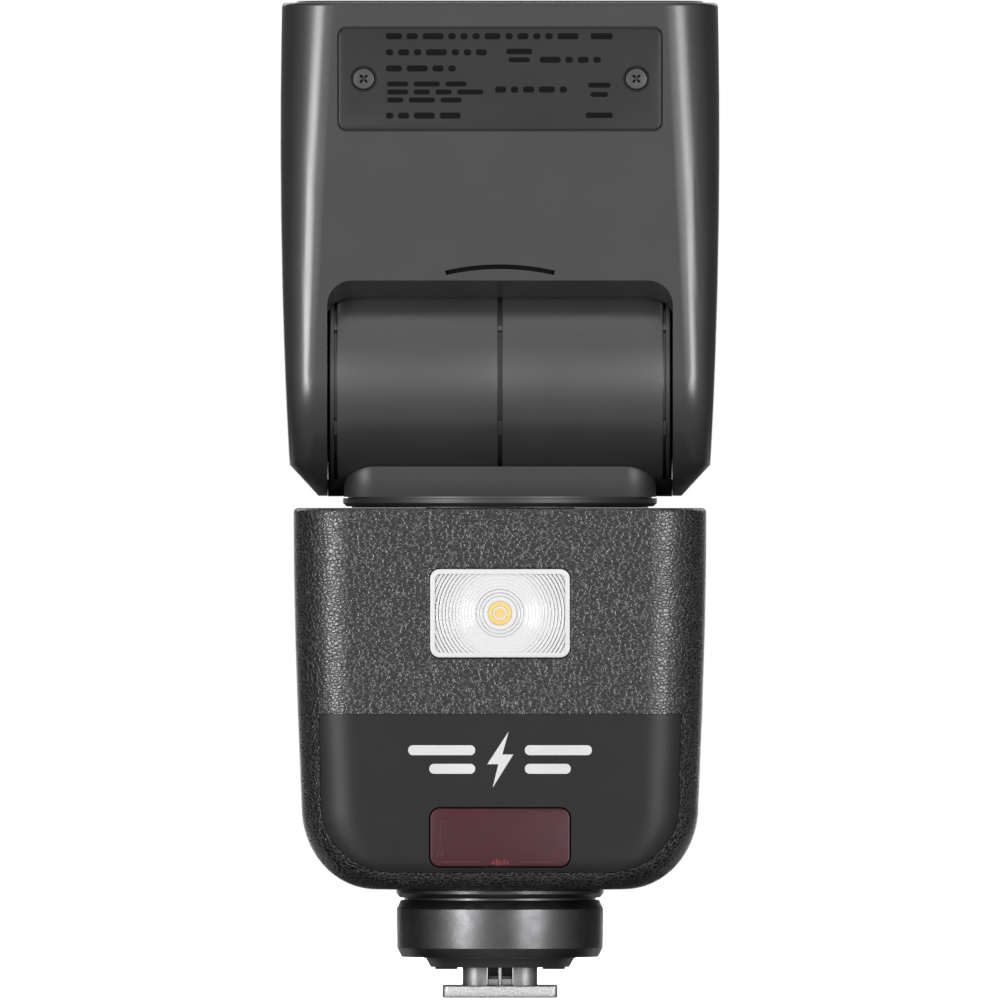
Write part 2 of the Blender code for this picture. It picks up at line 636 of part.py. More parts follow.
def battery():
    """The battery pack, and the cap on it that closes the body's left side."""
    pack = block("battery_pack", BATTERY_LOW, BATTERY_HIGH, "battery_wrap", "X", 2.0)
    cap = body_form("battery_cap", finish="grained_plastic")
    keep_inside(cap, block("cap_outline", (-40, BATTERY_LOW[1] - 0.3, BATTERY_LOW[2] - 0.3),
                           (BATTERY_LOW[0] - 0.1, BATTERY_HIGH[1] + 0.3, BATTERY_HIGH[2] + 0.3),
                           None, "X", 2.3))
    cut(cap, rod("grip_hollow", "Y", (-37.6, 0, 43.0), -2, 8, 6.0, segments=24))
    set_origin(cap, (-33, 3, 43))
    return pack, cap


def battery_release():
    """The button in the left side that frees the battery."""
    button = body_form("battery_release", finish="black_plastic")
    keep_inside(button, block("release_outline", (-40, -13.0, 38.0), (-29.4, -10.0, 48.0), None, "X", 0.8, 2))
    return set_origin(button, (-31, -11.5, 43))


def port_pocket():
    """The pocket in the right-hand side that the port cover lies in."""
    pocket = block("port_pocket", (20, PORT_FRONT - 0.15, PORT_LOW - 0.15),
                   (40, PORT_BACK + 0.45, PORT_HIGH + 0.15), None, "X", 1.6)
    return cut(pocket, body_form("pocket_depth", 1.7))


def port_cover():
    """The rubber cover over the charging and sync sockets."""
    cover = body_form("port_cover", finish="rubber")
    keep_inside(cover, block("cover_outline", (25, PORT_FRONT, PORT_LOW), (40, PORT_BACK, PORT_HIGH),
                             None, "X", 1.5))
    cut(cover, body_form("cover_back", 1.4))
    return set_origin(cover, (32.8, PORT_BACK + 0.2, 40))


# ---------------------------------------------------------------- neck and barrel


def swivel_base():
    """The disc on top of the body, with a hub through the casing for the wires."""
    return turned("swivel_base", "Z", (0, 0, 0), [
        (DISC_RADIUS, DISC_TOP), (DISC_RADIUS, 79.9), (24.8, DISC_BOTTOM), (HUB_RADIUS, DISC_BOTTOM),
        (HUB_RADIUS, 73.0), (HUB_BORE, 73.0), (HUB_BORE, DISC_TOP)], "satin_plastic", 40)


def swivel_retainer():
    """The ring under the casing's top that keeps the hub from lifting out."""
    return turned("swivel_retainer", "Z", (0, 0, 0), [
        (16.0, 76.6), (16.0, 75.0), (HUB_RADIUS + 0.15, 75.0), (HUB_RADIUS + 0.15, 76.6)], "steel", 32)


def neck_housing():
    """The saddle that carries the barrel on the swivel disc."""
    levels = ((DISC_TOP + 0.2, NECK_FOOT_HALF_Y), (83.0, NECK_HALF_Y + 0.35), (86.0, NECK_HALF_Y),
              (92.0, NECK_HALF_Y))
    neck = loft("neck_housing", [level_ring(NECK_HALF_X, -half_y, half_y, NECK_CORNER, z)
                                 for z, half_y in levels], "satin_plastic")
    cut(neck, rod("saddle", "X", (0, 0, TILT_Z), -40, 40, DRUM_RADIUS + 0.18, segments=64))
    return cut(neck, rod("wire_way", "Z", (0, 0, 0), 70, 100, HUB_BORE))


def barrel(name, side):
    """Half of the fixed barrel between the head's cheeks: a cup with a grooved rim at its outer end."""
    ends = [(DRUM_RADIUS, 0.4), (DRUM_RADIUS, 26.6), (17.9, 26.6), (17.9, DRUM_HALF_X),
            (AXLE_RADIUS + 0.3, DRUM_HALF_X), (AXLE_RADIUS + 0.3, 25.4), (16.2, 25.4), (16.2, 0.4)]
    profile = [(radius, side * along) for radius, along in ends]
    return turned(name, "X", (0, 0, TILT_Z), profile[::-1] if side > 0 else profile, "satin_plastic", 40)


def barrel_core():
    """The dark frame inside the barrel that joins its halves, seen in the slit between them."""
    return turned("barrel_core", "X", (0, 0, TILT_Z), [
        (15.9, 20.0), (15.9, -20.0), (AXLE_RADIUS + 0.3, -20.0), (AXLE_RADIUS + 0.3, 20.0)],
        "black_plastic", 32)


def tilt_axle():
    return turned("tilt_axle", "X", (0, 0, TILT_Z), [
        (AXLE_RADIUS, AXLE_HALF_X), (AXLE_RADIUS, -AXLE_HALF_X), (3.2, -AXLE_HALF_X), (3.2, AXLE_HALF_X)],
        "steel", 24)


# ---------------------------------------------------------------- head


def fork_opening():
    """The space between the head's cheeks that the neck swings through, with its sloping front lip."""
    rings = []
    for y, top, corner in ((-24.0, 117.95, 4.4), (HEAD_FRONT, FORK_TOP_FRONT, 4.0), (-14.0, 112.6, 2.6),
                           (0.5, 104.0, 2.6)):
        outline = rounded_rectangle((-FORK_HALF_X, 70.0), (FORK_HALF_X, top), corner)
        rings.append([(x, y, z) for x, z in outline])
    return loft("fork_opening", rings)


def head_shells():
    """The two halves of the head's casing. They meet at the tilt axis and close round its bushes."""
    liner = block("liner", (-FORK_HALF_X - CHEEK, -60, 60), (FORK_HALF_X + CHEEK, 60, CAVITY_FLOOR))
    cavity = cut(head_form("head_cavity", HEAD_WALL, 165.0), liner)
    shared = [
        cavity,
        rod("drum_space", "X", (0, 0, TILT_Z), -FORK_HALF_X, FORK_HALF_X, DRUM_CLEAR, segments=64),
        rod("bush_seats", "X", (0, 0, TILT_Z), -31, 31, 7.6, segments=32),
    ]
    slot_radius, slot_high = 39.7, 118.4
    slot_centre = (0, slot_high - slot_radius)
    spread = 12.9  # degrees each side of the middle
    slot = (arc(slot_centre, (slot_radius,) * 2, 90 - spread, 90 + spread, 12)
            + arc(slot_centre, (slot_radius - 0.75,) * 2, 90 + spread, 90 - spread, 12))
    front_only = [
        fork_opening(),
        plate("index_slot", "Y", slot, -22, HEAD_FRONT + 1.0),
        block("cover_pocket", (-COVER_HALF_X - 0.3, -22, COVER_LOW - 0.3),
              (COVER_HALF_X + 0.3, HEAD_FRONT + 1.4, COVER_HIGH + 0.3), None, "Y", 1.6),
        *[rod(f"boss_hole_{side}", "Y", (side * SCREW_X, 0, SCREW_Z), -22, -15, 1.15, segments=16)
          for side in (-1, 1)],
    ]
    back_only = [
        block("fork_back", (-FORK_HALF_X, -1, 70), (FORK_HALF_X, 40, FORK_TOP_BACK)),
    ]
    shells = []
    for name, far_side, own in (("head_front_shell", 1, front_only), ("head_rear_shell", -1, back_only)):
        shell = head_form(name, finish="satin_plastic")
        low, high = sorted((-far_side * GAP / 2, far_side * 60))
        cut(shell, *shared, *own, block(f"{name}_half", (-60, low, 60), (60, high, 180)))
        shells.append(shell)
    return shells


def service_cover():
    """The access cover set flush into the head, with a countersink for each screw."""
    cover = block("service_cover", (-COVER_HALF_X, HEAD_FRONT, COVER_LOW),
                  (COVER_HALF_X, HEAD_FRONT + 1.2, COVER_HIGH), "satin_plastic", "Y", 1.3)
    for side in (-1, 1):
        cut(cover, rod(f"countersink_{side}", "Y", (side * SCREW_X, 0, SCREW_Z), -24, -15, SCREW_RADIUS + 0.25))
    return cover


def cover_screw(name, side):
    """A cross-head screw that holds the service cover."""
    screw = turned(name, "Y", (side * SCREW_X, 0, SCREW_Z), [
        (0, -15.6), (0.85, -15.6), (0.85, -18.9), (SCREW_RADIUS, -18.9), (SCREW_RADIUS, -19.7),
        (1.5, -19.85), (0, -19.85)], "steel", 24)
    for number, (half_x, half_z) in enumerate(((0.75, 0.18), (0.18, 0.75))):
        cut(screw, block(f"{name}_cross_{number}", (side * SCREW_X - half_x, -21, SCREW_Z - half_z),
                         (side * SCREW_X + half_x, -19.3, SCREW_Z + half_z)))
    return screw


def tilt_bush(name, side):
    """The bush in a cheek that the tilt axle turns in."""
    profile = [(7.4, 30.6), (7.4, FORK_HALF_X + 0.1), (AXLE_RADIUS + 0.12, FORK_HALF_X + 0.1),
               (AXLE_RADIUS + 0.12, 30.6)]
    profile = [(radius, side * along) for radius, along in profile]
    return turned(name, "X", (0, 0, TILT_Z), profile if side > 0 else profile[::-1], "white_plastic", 24)


def window_frame():
    """The frame round the flash window, with a ledge that the lens rests on."""
    outline = rounded_rectangle((-32.9, -17.6), (32.9, 18.9), 7.5)
    frame = plate("window_frame", "Z", outline, 156.4, 161.0, "black_plastic")
    opening = block("lens_seat", (-LENS_HALF_X - 0.2, LENS_FRONT - 0.2, 158.1),
                    (LENS_HALF_X + 0.2, LENS_BACK + 0.2, 165), None, "Z", 3.0)
    passage = block("light_way", (-28.6, -13.8, 150), (28.6, 14.6, 165), None, "Z", 2.0)
    return cut(frame, opening, passage)


def fresnel_window():
    return block("fresnel_window", (-LENS_HALF_X, LENS_FRONT, 158.3), (LENS_HALF_X, LENS_BACK, 160.3),
                 "clear_lens", "Z", 2.8)


def pull_out_cards():
    """The white bounce card and the clear wide-angle panel, side by side in the slot behind the frame."""
    card = block("bounce_card", (-28.4, 19.4, 125), (28.4, 20.2, 160.0), "white_plastic")
    join(card, block("card_tab", (3.5, 19.3, 158.8), (28.2, 20.5, 161.0)))
    panel = block("wide_panel", (-28.4, 20.9, 126), (28.4, 22.0, 160.0), "clear_lens")
    join(panel, block("panel_tab", (-28.2, 20.7, 158.8), (-3.5, 22.1, 161.0)))
    return card, panel


REFLECTOR_FOOT, REFLECTOR_HALF_Y, REFLECTOR_DEPTH = 124.6, 10.8, 13.0
FOCUS = REFLECTOR_HALF_Y**2 / (4 * REFLECTOR_DEPTH)
SCREW_PLACE, ROD_PLACE = (-28.4, 6.0), (28.4, 6.0)


def reflector():
    """A parabolic trough that opens upwards, with the flash tube along its focus."""
    bm = bmesh.new()
    steps = 14
    rows = []
    for x in (-22.0, 22.0):
        ys = [REFLECTOR_HALF_Y * (2 * step / steps - 1) for step in range(steps + 1)]
        rows.append([bm.verts.new((x, y, REFLECTOR_FOOT + y * y / (4 * FOCUS))) for y in ys])
    for i in range(steps):
        bm.faces.new((rows[0][i], rows[1][i], rows[1][i + 1], rows[0][i + 1]))
    trough = object_from(bm, "reflector", "reflector_metal")
    walls = trough.modifiers.new("thickness", "SOLIDIFY")
    walls.thickness = 0.5 * MM
    walls.offset = 0.0
    return trough


def flash_tube():
    place = (0, 0, REFLECTOR_FOOT + FOCUS)
    return turned("flash_tube", "X", place, [
        (0, 21.0), (1.1, 21.0), (1.5, 20.4), (1.5, -20.4), (1.1, -21.0), (0, -21.0)], "glass", 20)


def zoom_carriage():
    """The frame that carries the reflector and tube, with a nut arm and a guide arm."""
    mouth = REFLECTOR_FOOT + REFLECTOR_DEPTH
    carriage = block("zoom_carriage", (-24.4, -13.0, mouth - 2.5), (24.4, 13.0, mouth + 0.8), "black_plastic")
    cut(carriage, block("carriage_mouth", (-22.3, -11.6, 100), (22.3, 11.6, 150)))
    for number, (x, y) in enumerate((SCREW_PLACE, ROD_PLACE)):
        side = math.copysign(1, x)
        low, high = sorted((side * 24.0, side * 31.0))
        arm = block(f"carriage_arm_{number}", (low, y - 2.6, mouth - 2.5), (high, y + 2.6, mouth + 0.8))
        join(carriage, arm)
        cut(carriage, rod(f"arm_bore_{number}", "Z", (x, y, 0), 100, 150, 1.6, segments=16))
    return carriage


def zoom_drive():
    """The zoom motor, its lead screw and the rod that guides the carriage."""
    x, y = SCREW_PLACE
    rod("zoom_motor", "Z", (x, y, 0), 122.0, 130.6, 4.0, "steel")
    thread = [(0, 155.2), (1.2, 155.2)]
    for turn in range(6):
        z = 153.4 - 3.6 * turn
        thread += [(1.2, z), (0.95, z - 0.6), (0.95, z - 1.8), (1.2, z - 2.4)]
    turned("zoom_screw", "Z", (x, y, 0), thread + [(1.2, 130.9), (0, 130.9)], "steel", 8)
    rod("guide_rod", "Z", (*ROD_PLACE, 0), 122.2, 155.4, 1.2, "steel", 16)


# ---------------------------------------------------------------- assembly


def build_body():
    shoe_foot()
    contact_block()
    shoe_contacts()
    contact_riser()
    foot_spindle()
    shoe_flange()
    body_shells()
    front_panel()
    front_windows()
    modelling_lamp()
    assist_module()
    capacitor()
    boards()
    usb_socket()
    sync_jack()
    screen()


def build_moving_body_parts():
    lock_ring()
    lock_pin()
    clamp = joint_empty("clamp_travel", (0, 0, CLAMP_BOTTOM))
    hold(clamp, clamp_plate(), *mirrored_pair(clamp_pad, "clamp_pad"))
    controls()
    slide = joint_empty("battery_travel", BATTERY_LOW)
    hold(slide, *battery())
    battery_release()
    port_cover()


def build_neck():
    pan = joint_empty("pan_axis", (0, 0, BODY_TOP))
    hold(pan, swivel_base(), swivel_retainer(), neck_housing(), *mirrored_pair(barrel, "barrel"),
         barrel_core(), tilt_axle())
    return pan


def build_head():
    tilt = joint_empty("tilt_axis", (0, 0, TILT_Z))
    hold(tilt, *head_shells(), service_cover(), *mirrored_pair(cover_screw, "cover_screw"),
         *mirrored_pair(tilt_bush, "tilt_bush"), window_frame(), fresnel_window(), *pull_out_cards())
    zoom = joint_empty("zoom_travel", (0, 0, REFLECTOR_FOOT))
    hold(zoom, zoom_carriage(), reflector(), flash_tube())
    zoom_drive()


build_body()
build_moving_body_parts()
build_neck()
build_head()
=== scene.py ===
"""The visual model of a speedlight flash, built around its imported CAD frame.

Sizes are in millimetres until a mesh is made. +Z is up, -Y faces the subject, and the origin is the
centre of the shoe foot's underside.
"""

import math
import random

import bmesh
import bpy
from mathutils import Matrix, Vector


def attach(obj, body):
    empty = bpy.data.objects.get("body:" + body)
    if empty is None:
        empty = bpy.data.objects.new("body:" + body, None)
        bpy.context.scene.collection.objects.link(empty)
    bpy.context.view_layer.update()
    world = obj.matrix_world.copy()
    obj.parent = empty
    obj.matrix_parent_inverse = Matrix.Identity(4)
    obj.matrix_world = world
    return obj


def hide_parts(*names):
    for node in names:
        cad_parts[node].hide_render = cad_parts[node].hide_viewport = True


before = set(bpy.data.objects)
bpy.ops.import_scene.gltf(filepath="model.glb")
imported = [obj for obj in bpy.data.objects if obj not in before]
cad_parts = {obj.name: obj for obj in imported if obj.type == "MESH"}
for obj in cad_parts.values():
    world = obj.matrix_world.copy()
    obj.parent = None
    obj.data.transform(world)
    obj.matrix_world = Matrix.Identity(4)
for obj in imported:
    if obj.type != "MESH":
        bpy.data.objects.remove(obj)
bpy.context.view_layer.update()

MM = 0.001
TILT_Z = 101.0
BODY_BOTTOM, BODY_TOP, BODY_FRONT, BODY_BACK, BODY_CORNER = 17.57, 79.1, -27.5, 26.3, 9.5
HEAD_BOTTOM, HEAD_TOP, HEAD_FRONT, HEAD_BACK = 81.0, 160.7, -20.0, 24.5
DRUM_RADIUS, FORK_HALF_X = 18.8, 27.9
DIAL_Z = 30.0


# ---------------------------------------------------------------- mesh helpers


def object_from(bm, name):
    """A new object in the scene from a bmesh drawn in millimetres."""
    bmesh.ops.recalc_face_normals(bm, faces=bm.faces)
    bmesh.ops.scale(bm, vec=(MM, MM, MM), verts=bm.verts)
    mesh = bpy.data.meshes.new(name)
    bm.to_mesh(mesh)
    bm.free()
    obj = bpy.data.objects.new(name, mesh)
    bpy.context.scene.collection.objects.link(obj)
    return obj


def arc(centre, radii, start, end, steps):
    found = []
    for step in range(steps + 1):
        angle = math.radians(start + (end - start) * step / steps)
        found.append((centre[0] + radii[0] * math.cos(angle), centre[1] + radii[1] * math.sin(angle)))
    return found


def rounded_rectangle(low, high, radius, steps=8):
    inner = ((high[0] - radius, low[1] + radius), (high[0] - radius, high[1] - radius),
             (low[0] + radius, high[1] - radius), (low[0] + radius, low[1] + radius))
    found = []
    for corner, centre in enumerate(inner):
        start = 90 * corner - 90
        found += arc(centre, (radius, radius), start, start + 90, steps)
    return found


def loft(name, sections):
    """One closed surface through rings of equal point counts."""
    bm = bmesh.new()
    rings = [[bm.verts.new(point) for point in section] for section in sections]
    count = len(rings[0])
    for lower, upper in zip(rings, rings[1:]):
        for i in range(count):
            j = (i + 1) % count
            bm.faces.new((lower[i], lower[j], upper[j], upper[i]))
    bm.faces.new(rings[0])
    bm.faces.new(rings[-1])
    return object_from(bm, name)


def on_axis(axis, across, up, along):
    """A point given across, up and along an axis: (Y, Z, X), (X, Z, Y) or (X, Y, Z)."""
    if axis == "X":
        return along, across, up
    if axis == "Y":
        return across, along, up
    return across, up, along


def prism(name, axis, outline, low, high):
    """A flat outline with thickness along a world axis."""
    return loft(name, [[on_axis(axis, a, u, along) for a, u in outline] for along in (low, high)])


def plates(name, axis, outlines, low, high):
    """Several separate flat shapes of the same thickness as one mesh."""
    bm = bmesh.new()
    for outline in outlines:
        near, far = ([bm.verts.new(on_axis(axis, a, u, along)) for a, u in outline] for along in (low, high))
        for i in range(len(outline)):
            j = (i + 1) % len(outline)
            bm.faces.new((near[i], near[j], far[j], far[i]))
        bm.faces.new(near)
        bm.faces.new(far)
    return object_from(bm, name)


def bar(left, right, low, high, share=0.4, steps=3):
    """A small rounded bar's outline."""
    return rounded_rectangle((left, low), (right, high), min(right - left, high - low) * share, steps)


def soft_prism(name, axis, outline_at, low, high, edge, steps=3):
    """A prism with both rims rounded. outline_at(inset) gives the outline that far inside the full one."""
    rings = []
    for step in range(steps + 1):
        turn = math.pi / 2 * step / steps
        inset, along = edge * (1 - math.sin(turn)), low + edge * (1 - math.cos(turn))
        rings.append([on_axis(axis, a, u, along) for a, u in outline_at(inset)])
    for step in range(steps + 1):
        turn = math.pi / 2 * (1 - step / steps)
        inset, along = edge * (1 - math.sin(turn)), high - edge * (1 - math.cos(turn))
        rings.append([on_axis(axis, a, u, along) for a, u in outline_at(inset)])
    return loft(name, rings)


def soft_box(name, axis, low, high, radius, edge, steps=6):
    """A box with rounded edges along an axis, and rounded rims at its two ends."""
    order = {"X": (1, 2, 0), "Y": (0, 2, 1), "Z": (0, 1, 2)}[axis]

    def outline_at(inset):
        return rounded_rectangle((low[order[0]] + inset, low[order[1]] + inset),
                                 (high[order[0]] - inset, high[order[1]] - inset),
                                 max(radius - inset, 0.02), steps)

    return soft_prism(name, axis, outline_at, low[order[2]], high[order[2]], edge)


def block(name, low, high):
    outline = [(low[0], low[1]), (high[0], low[1]), (high[0], high[1]), (low[0], high[1])]
    return loft(name, [[(x, y, z) for x, y in outline] for z in (low[2], high[2])])


def turned(name, axis, centre, profile, steps=96):
    """A turned shape from (radius, distance along the axis) points. It closes on itself or on the axis."""
    bm = bmesh.new()
    rings = []
    for radius, along in profile:
        if radius < 1e-6:
            rings.append([bm.verts.new(on_axis(axis, centre[0], centre[1], along))])
            continue
        ring = []
        for step in range(steps):
            turn = 2 * math.pi * step / steps
            across, up = centre[0] + radius * math.cos(turn), centre[1] + radius * math.sin(turn)
            ring.append(bm.verts.new(on_axis(axis, across, up, along)))
        rings.append(ring)
    pairs = list(zip(rings, rings[1:]))
    if profile[0][0] > 1e-6:
        pairs.append((rings[-1], rings[0]))
    for first, second in pairs:
        for i in range(steps):
            j = (i + 1) % steps
            if len(first) == 1 and len(second) == 1:
                continue
            if len(first) == 1:
                bm.faces.new((first[0], second[j], second[i]))
            elif len(second) == 1:
                bm.faces.new((first[i], first[j], second[0]))
            else:
                bm.faces.new((first[i], first[j], second[j], second[i]))
    return object_from(bm, name)


def eased(profile, radius=0.2, steps=3):
    """The profile with each corner of more than 20 degrees rounded. Points on the axis stay."""
    closed = profile[0][0] > 1e-6
    found = []
    count = len(profile)
    for i, point in enumerate(profile):
        if not closed and i in (0, count - 1):
            found.append(point)
            continue
        here = Vector(point)
        to_last = Vector(profile[i - 1]) - here
        to_next = Vector(profile[(i + 1) % count]) - here
        turn = math.pi - to_last.angle(to_next)
        if turn < math.radians(20):
            found.append(point)
            continue
        reach = min(radius * math.tan(turn / 2), to_last.length * 0.45, to_next.length * 0.45)
        start, end = here + to_last.normalized() * reach, here + to_next.normalized() * reach
        for step in range(steps + 1):
            t = step / steps
            found.append(tuple(start * (1 - t) ** 2 + here * 2 * t * (1 - t) + end * t**2))
    return found


OPERATIONS = {"cut": "DIFFERENCE", "join": "UNION", "keep": "INTERSECT"}


def carve(obj, **steps):
    """Applies Booleans: cut=[...], join=[...], keep=[...], in the order given. The tools are removed."""
    tools = [(kind, tool) for kind, listed in steps.items() for tool in listed]
    for kind, tool in tools:
        modifier = obj.modifiers.new(kind, "BOOLEAN")
        modifier.operation = OPERATIONS[kind]
        modifier.object = tool
    bpy.context.view_layer.update()
    mesh = bpy.data.meshes.new_from_object(obj.evaluated_get(bpy.context.evaluated_depsgraph_get()))
    obj.modifiers.clear()
    obj.data = mesh
    for _, tool in tools:
        bpy.data.objects.remove(tool)
    return obj


def soften(obj, width, where=None, steps=2, angle=35):
    """Rounds the sharp edges, or those whose middle passes where((x, y, z) in millimetres)."""
    bm = bmesh.new()
    bm.from_mesh(obj.data)
    bmesh.ops.remove_doubles(bm, verts=bm.verts, dist=0.002 * MM)
    bmesh.ops.dissolve_limit(bm, angle_limit=math.radians(0.4), verts=bm.verts, edges=bm.edges)
    limit = math.radians(angle)
    edges = []
    for edge in bm.edges:
        if len(edge.link_faces) == 2 and edge.calc_face_angle(0.0) > limit:
            middle = (edge.verts[0].co + edge.verts[1].co) / 2 / MM
            if where is None or where(*middle):
                edges.append(edge)
    bmesh.ops.bevel(bm, geom=edges, offset=width * MM, segments=steps, profile=0.5, affect="EDGES",
                    clamp_overlap=True, loop_slide=True)
    bm.to_mesh(obj.data)
    bm.free()
    return obj


def smooth(obj, angle=30):
    obj.data.shade_smooth()
    obj.data.set_sharp_from_angle(angle=math.radians(angle))
    return obj


def piece(obj, material, body, stands_for=(), angle=30, weighted=False):
    """Finishes a new object: smooth shading, one material, and the CAD body that it moves with."""
    smooth(obj, angle)
    if weighted:
        modifier = obj.modifiers.new("normals", "WEIGHTED_NORMAL")
        modifier.keep_sharp = True
    obj.data.materials.clear()
    obj.data.materials.append(material)
    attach(obj, body)
    if stands_for:
        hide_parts(*stands_for)
    return obj


# ---------------------------------------------------------------- materials


class Surface:
    """A Principled material that is built up one layer at a time. Coordinates are the row frame's."""

    def __init__(self, name, colour, roughness, metallic=0.0, **sockets):
        self.material = bpy.data.materials.new(name)
        self.material.use_nodes = True
        self.tree = self.material.node_tree
        self.shader = self.tree.nodes["Principled BSDF"]
        self.colour, self.roughness = colour, roughness
        self.shader.inputs["Base Color"].default_value = (*colour, 1.0)
        self.shader.inputs["Roughness"].default_value = roughness
        self.shader.inputs["Metallic"].default_value = metallic
        for label, value in sockets.items():
            self.shader.inputs[label.replace("_", " ")].default_value = value
        self.position = self.node("ShaderNodeTexCoord").outputs["Object"]
        self.normal = None

    def node(self, kind, **settings):
        made = self.tree.nodes.new(kind)
        for key, value in settings.items():
            if key in made.inputs:
                made.inputs[key].default_value = value
            else:
                setattr(made, key, value)
        return made

    def link(self, source, target):
        self.tree.links.new(source, target)

    def stretched(self, scale):
        mapping = self.node("ShaderNodeMapping")
        mapping.inputs["Scale"].default_value = scale
        self.link(self.position, mapping.inputs["Vector"])
        return mapping.outputs["Vector"]

    def noise(self, size, detail=4.0, stretch=None, roughness=0.55):
        """A noise field with features of about this size in millimetres."""
        made = self.node("ShaderNodeTexNoise", Scale=1.0 / (size * MM), Detail=detail, Roughness=roughness)
        self.link(self.stretched(stretch) if stretch else self.position, made.inputs["Vector"])
        return made.outputs["Fac"]

    def spread(self, source, low, high, start=0.3, end=0.7):
        made = self.node("ShaderNodeMapRange")
        made.inputs["From Min"].default_value = start
        made.inputs["From Max"].default_value = end
        made.inputs["To Min"].default_value = low
        made.inputs["To Max"].default_value = high
        self.link(source, made.inputs["Value"])
        return made.outputs["Result"]

    def vary_roughness(self, amount, size=4.0, stretch=None):
        low, high = self.roughness - amount, self.roughness + amount
        self.link(self.spread(self.noise(size, 5.0, stretch), low, high), self.shader.inputs["Roughness"])
        return self

    def mixed(self, factor, first, second):
        made = self.node("ShaderNodeMix", data_type="RGBA")
        self.link(factor, made.inputs[0])
        for index, value in ((6, first), (7, second)):
            if isinstance(value, tuple):
                made.inputs[index].default_value = (*value, 1.0)
            else:
                self.link(value, made.inputs[index])
        return made.outputs[2]

    def vary_colour(self, other, size=6.0, amount=1.0, stretch=None):
        """Blends towards another colour in soft patches."""
        factor = self.spread(self.noise(size, 5.0, stretch), 0.0, amount)
        self.result = self.mixed(factor, self.colour, other)
        self.link(self.result, self.shader.inputs["Base Color"])
        return self

    def bump(self, height, depth, strength=1.0):
        """Adds a bump of this depth in millimetres."""
        made = self.node("ShaderNodeBump", Strength=strength, Distance=depth * MM)
        self.link(height, made.inputs["Height"])
        if self.normal:
            self.link(self.normal, made.inputs["Normal"])
        self.normal = made.outputs["Normal"]
        self.link(self.normal, self.shader.inputs["Normal"])
        return self

    def grain(self, size, depth, detail=3.0, stretch=None):
        return self.bump(self.noise(size, detail, stretch), depth)


def satin_plastic(name, colour, roughness=0.42, grain=0.22, depth=0.007, **sockets):
    """Fine spark-eroded moulding."""
    made = Surface(name, colour, roughness, **sockets)
    made.vary_colour(tuple(c * 1.12 + 0.001 for c in colour), 9.0)
    made.vary_roughness(0.012, 7.0)
    return made.grain(grain, depth).grain(grain * 6, depth * 0.4).material


def leather_plastic(name, colour, roughness=0.5):
    """A moulded leather grain: flat-topped pebbles with narrow, steep creases between them. The creases are painted
    much lighter than the pebble tops, as a painted highlight.
    """
    made = Surface(name, colour, roughness, Specular_IOR_Level=0.5)
    warp = made.node("ShaderNodeTexNoise", Scale=1300.0, Detail=2.0)
    place = made.stretched((0.8, 0.8, 1.35))
    made.link(place, warp.inputs["Vector"])
    shift = made.node("ShaderNodeVectorMath", operation="MULTIPLY_ADD")
    shift.inputs[1].default_value = (0.0008, 0.0008, 0.0008)
    made.link(warp.outputs["Color"], shift.inputs[0])
    made.link(place, shift.inputs[2])
    cells = made.node("ShaderNodeTexVoronoi", feature="DISTANCE_TO_EDGE", Scale=1400.0, Randomness=1.0)
    made.link(shift.outputs[0], cells.inputs["Vector"])
    crease = made.spread(cells.outputs["Distance"], 0.0, 1.0, 0.0, 0.1)
    dome = made.spread(cells.outputs["Distance"], 0.0, 1.0, 0.0, 0.42)
    # Painted highlight: the creases are painted seven times lighter and the pebble tops darker, for the light that the
    # wrinkles catch.
    made.result = made.mixed(crease, tuple(c * 7.0 for c in colour), tuple(c * 0.45 for c in colour))
    made.link(made.result, made.shader.inputs["Base Color"])
    made.vary_roughness(0.02, 1.6)
    return made.bump(dome, 0.034).bump(crease, 0.026).grain(0.16, 0.004).material


def metal(name, colour, roughness, size=0.3, depth=0.01, stretch=None, metallic=1.0, patch=3.0, dark=0.82):
    made = Surface(name, colour, roughness, metallic)
    made.vary_colour(tuple(c * dark for c in colour), patch)
    made.vary_roughness(0.05, 2.0, stretch)
    return made.grain(size, depth, 4.0, stretch).material


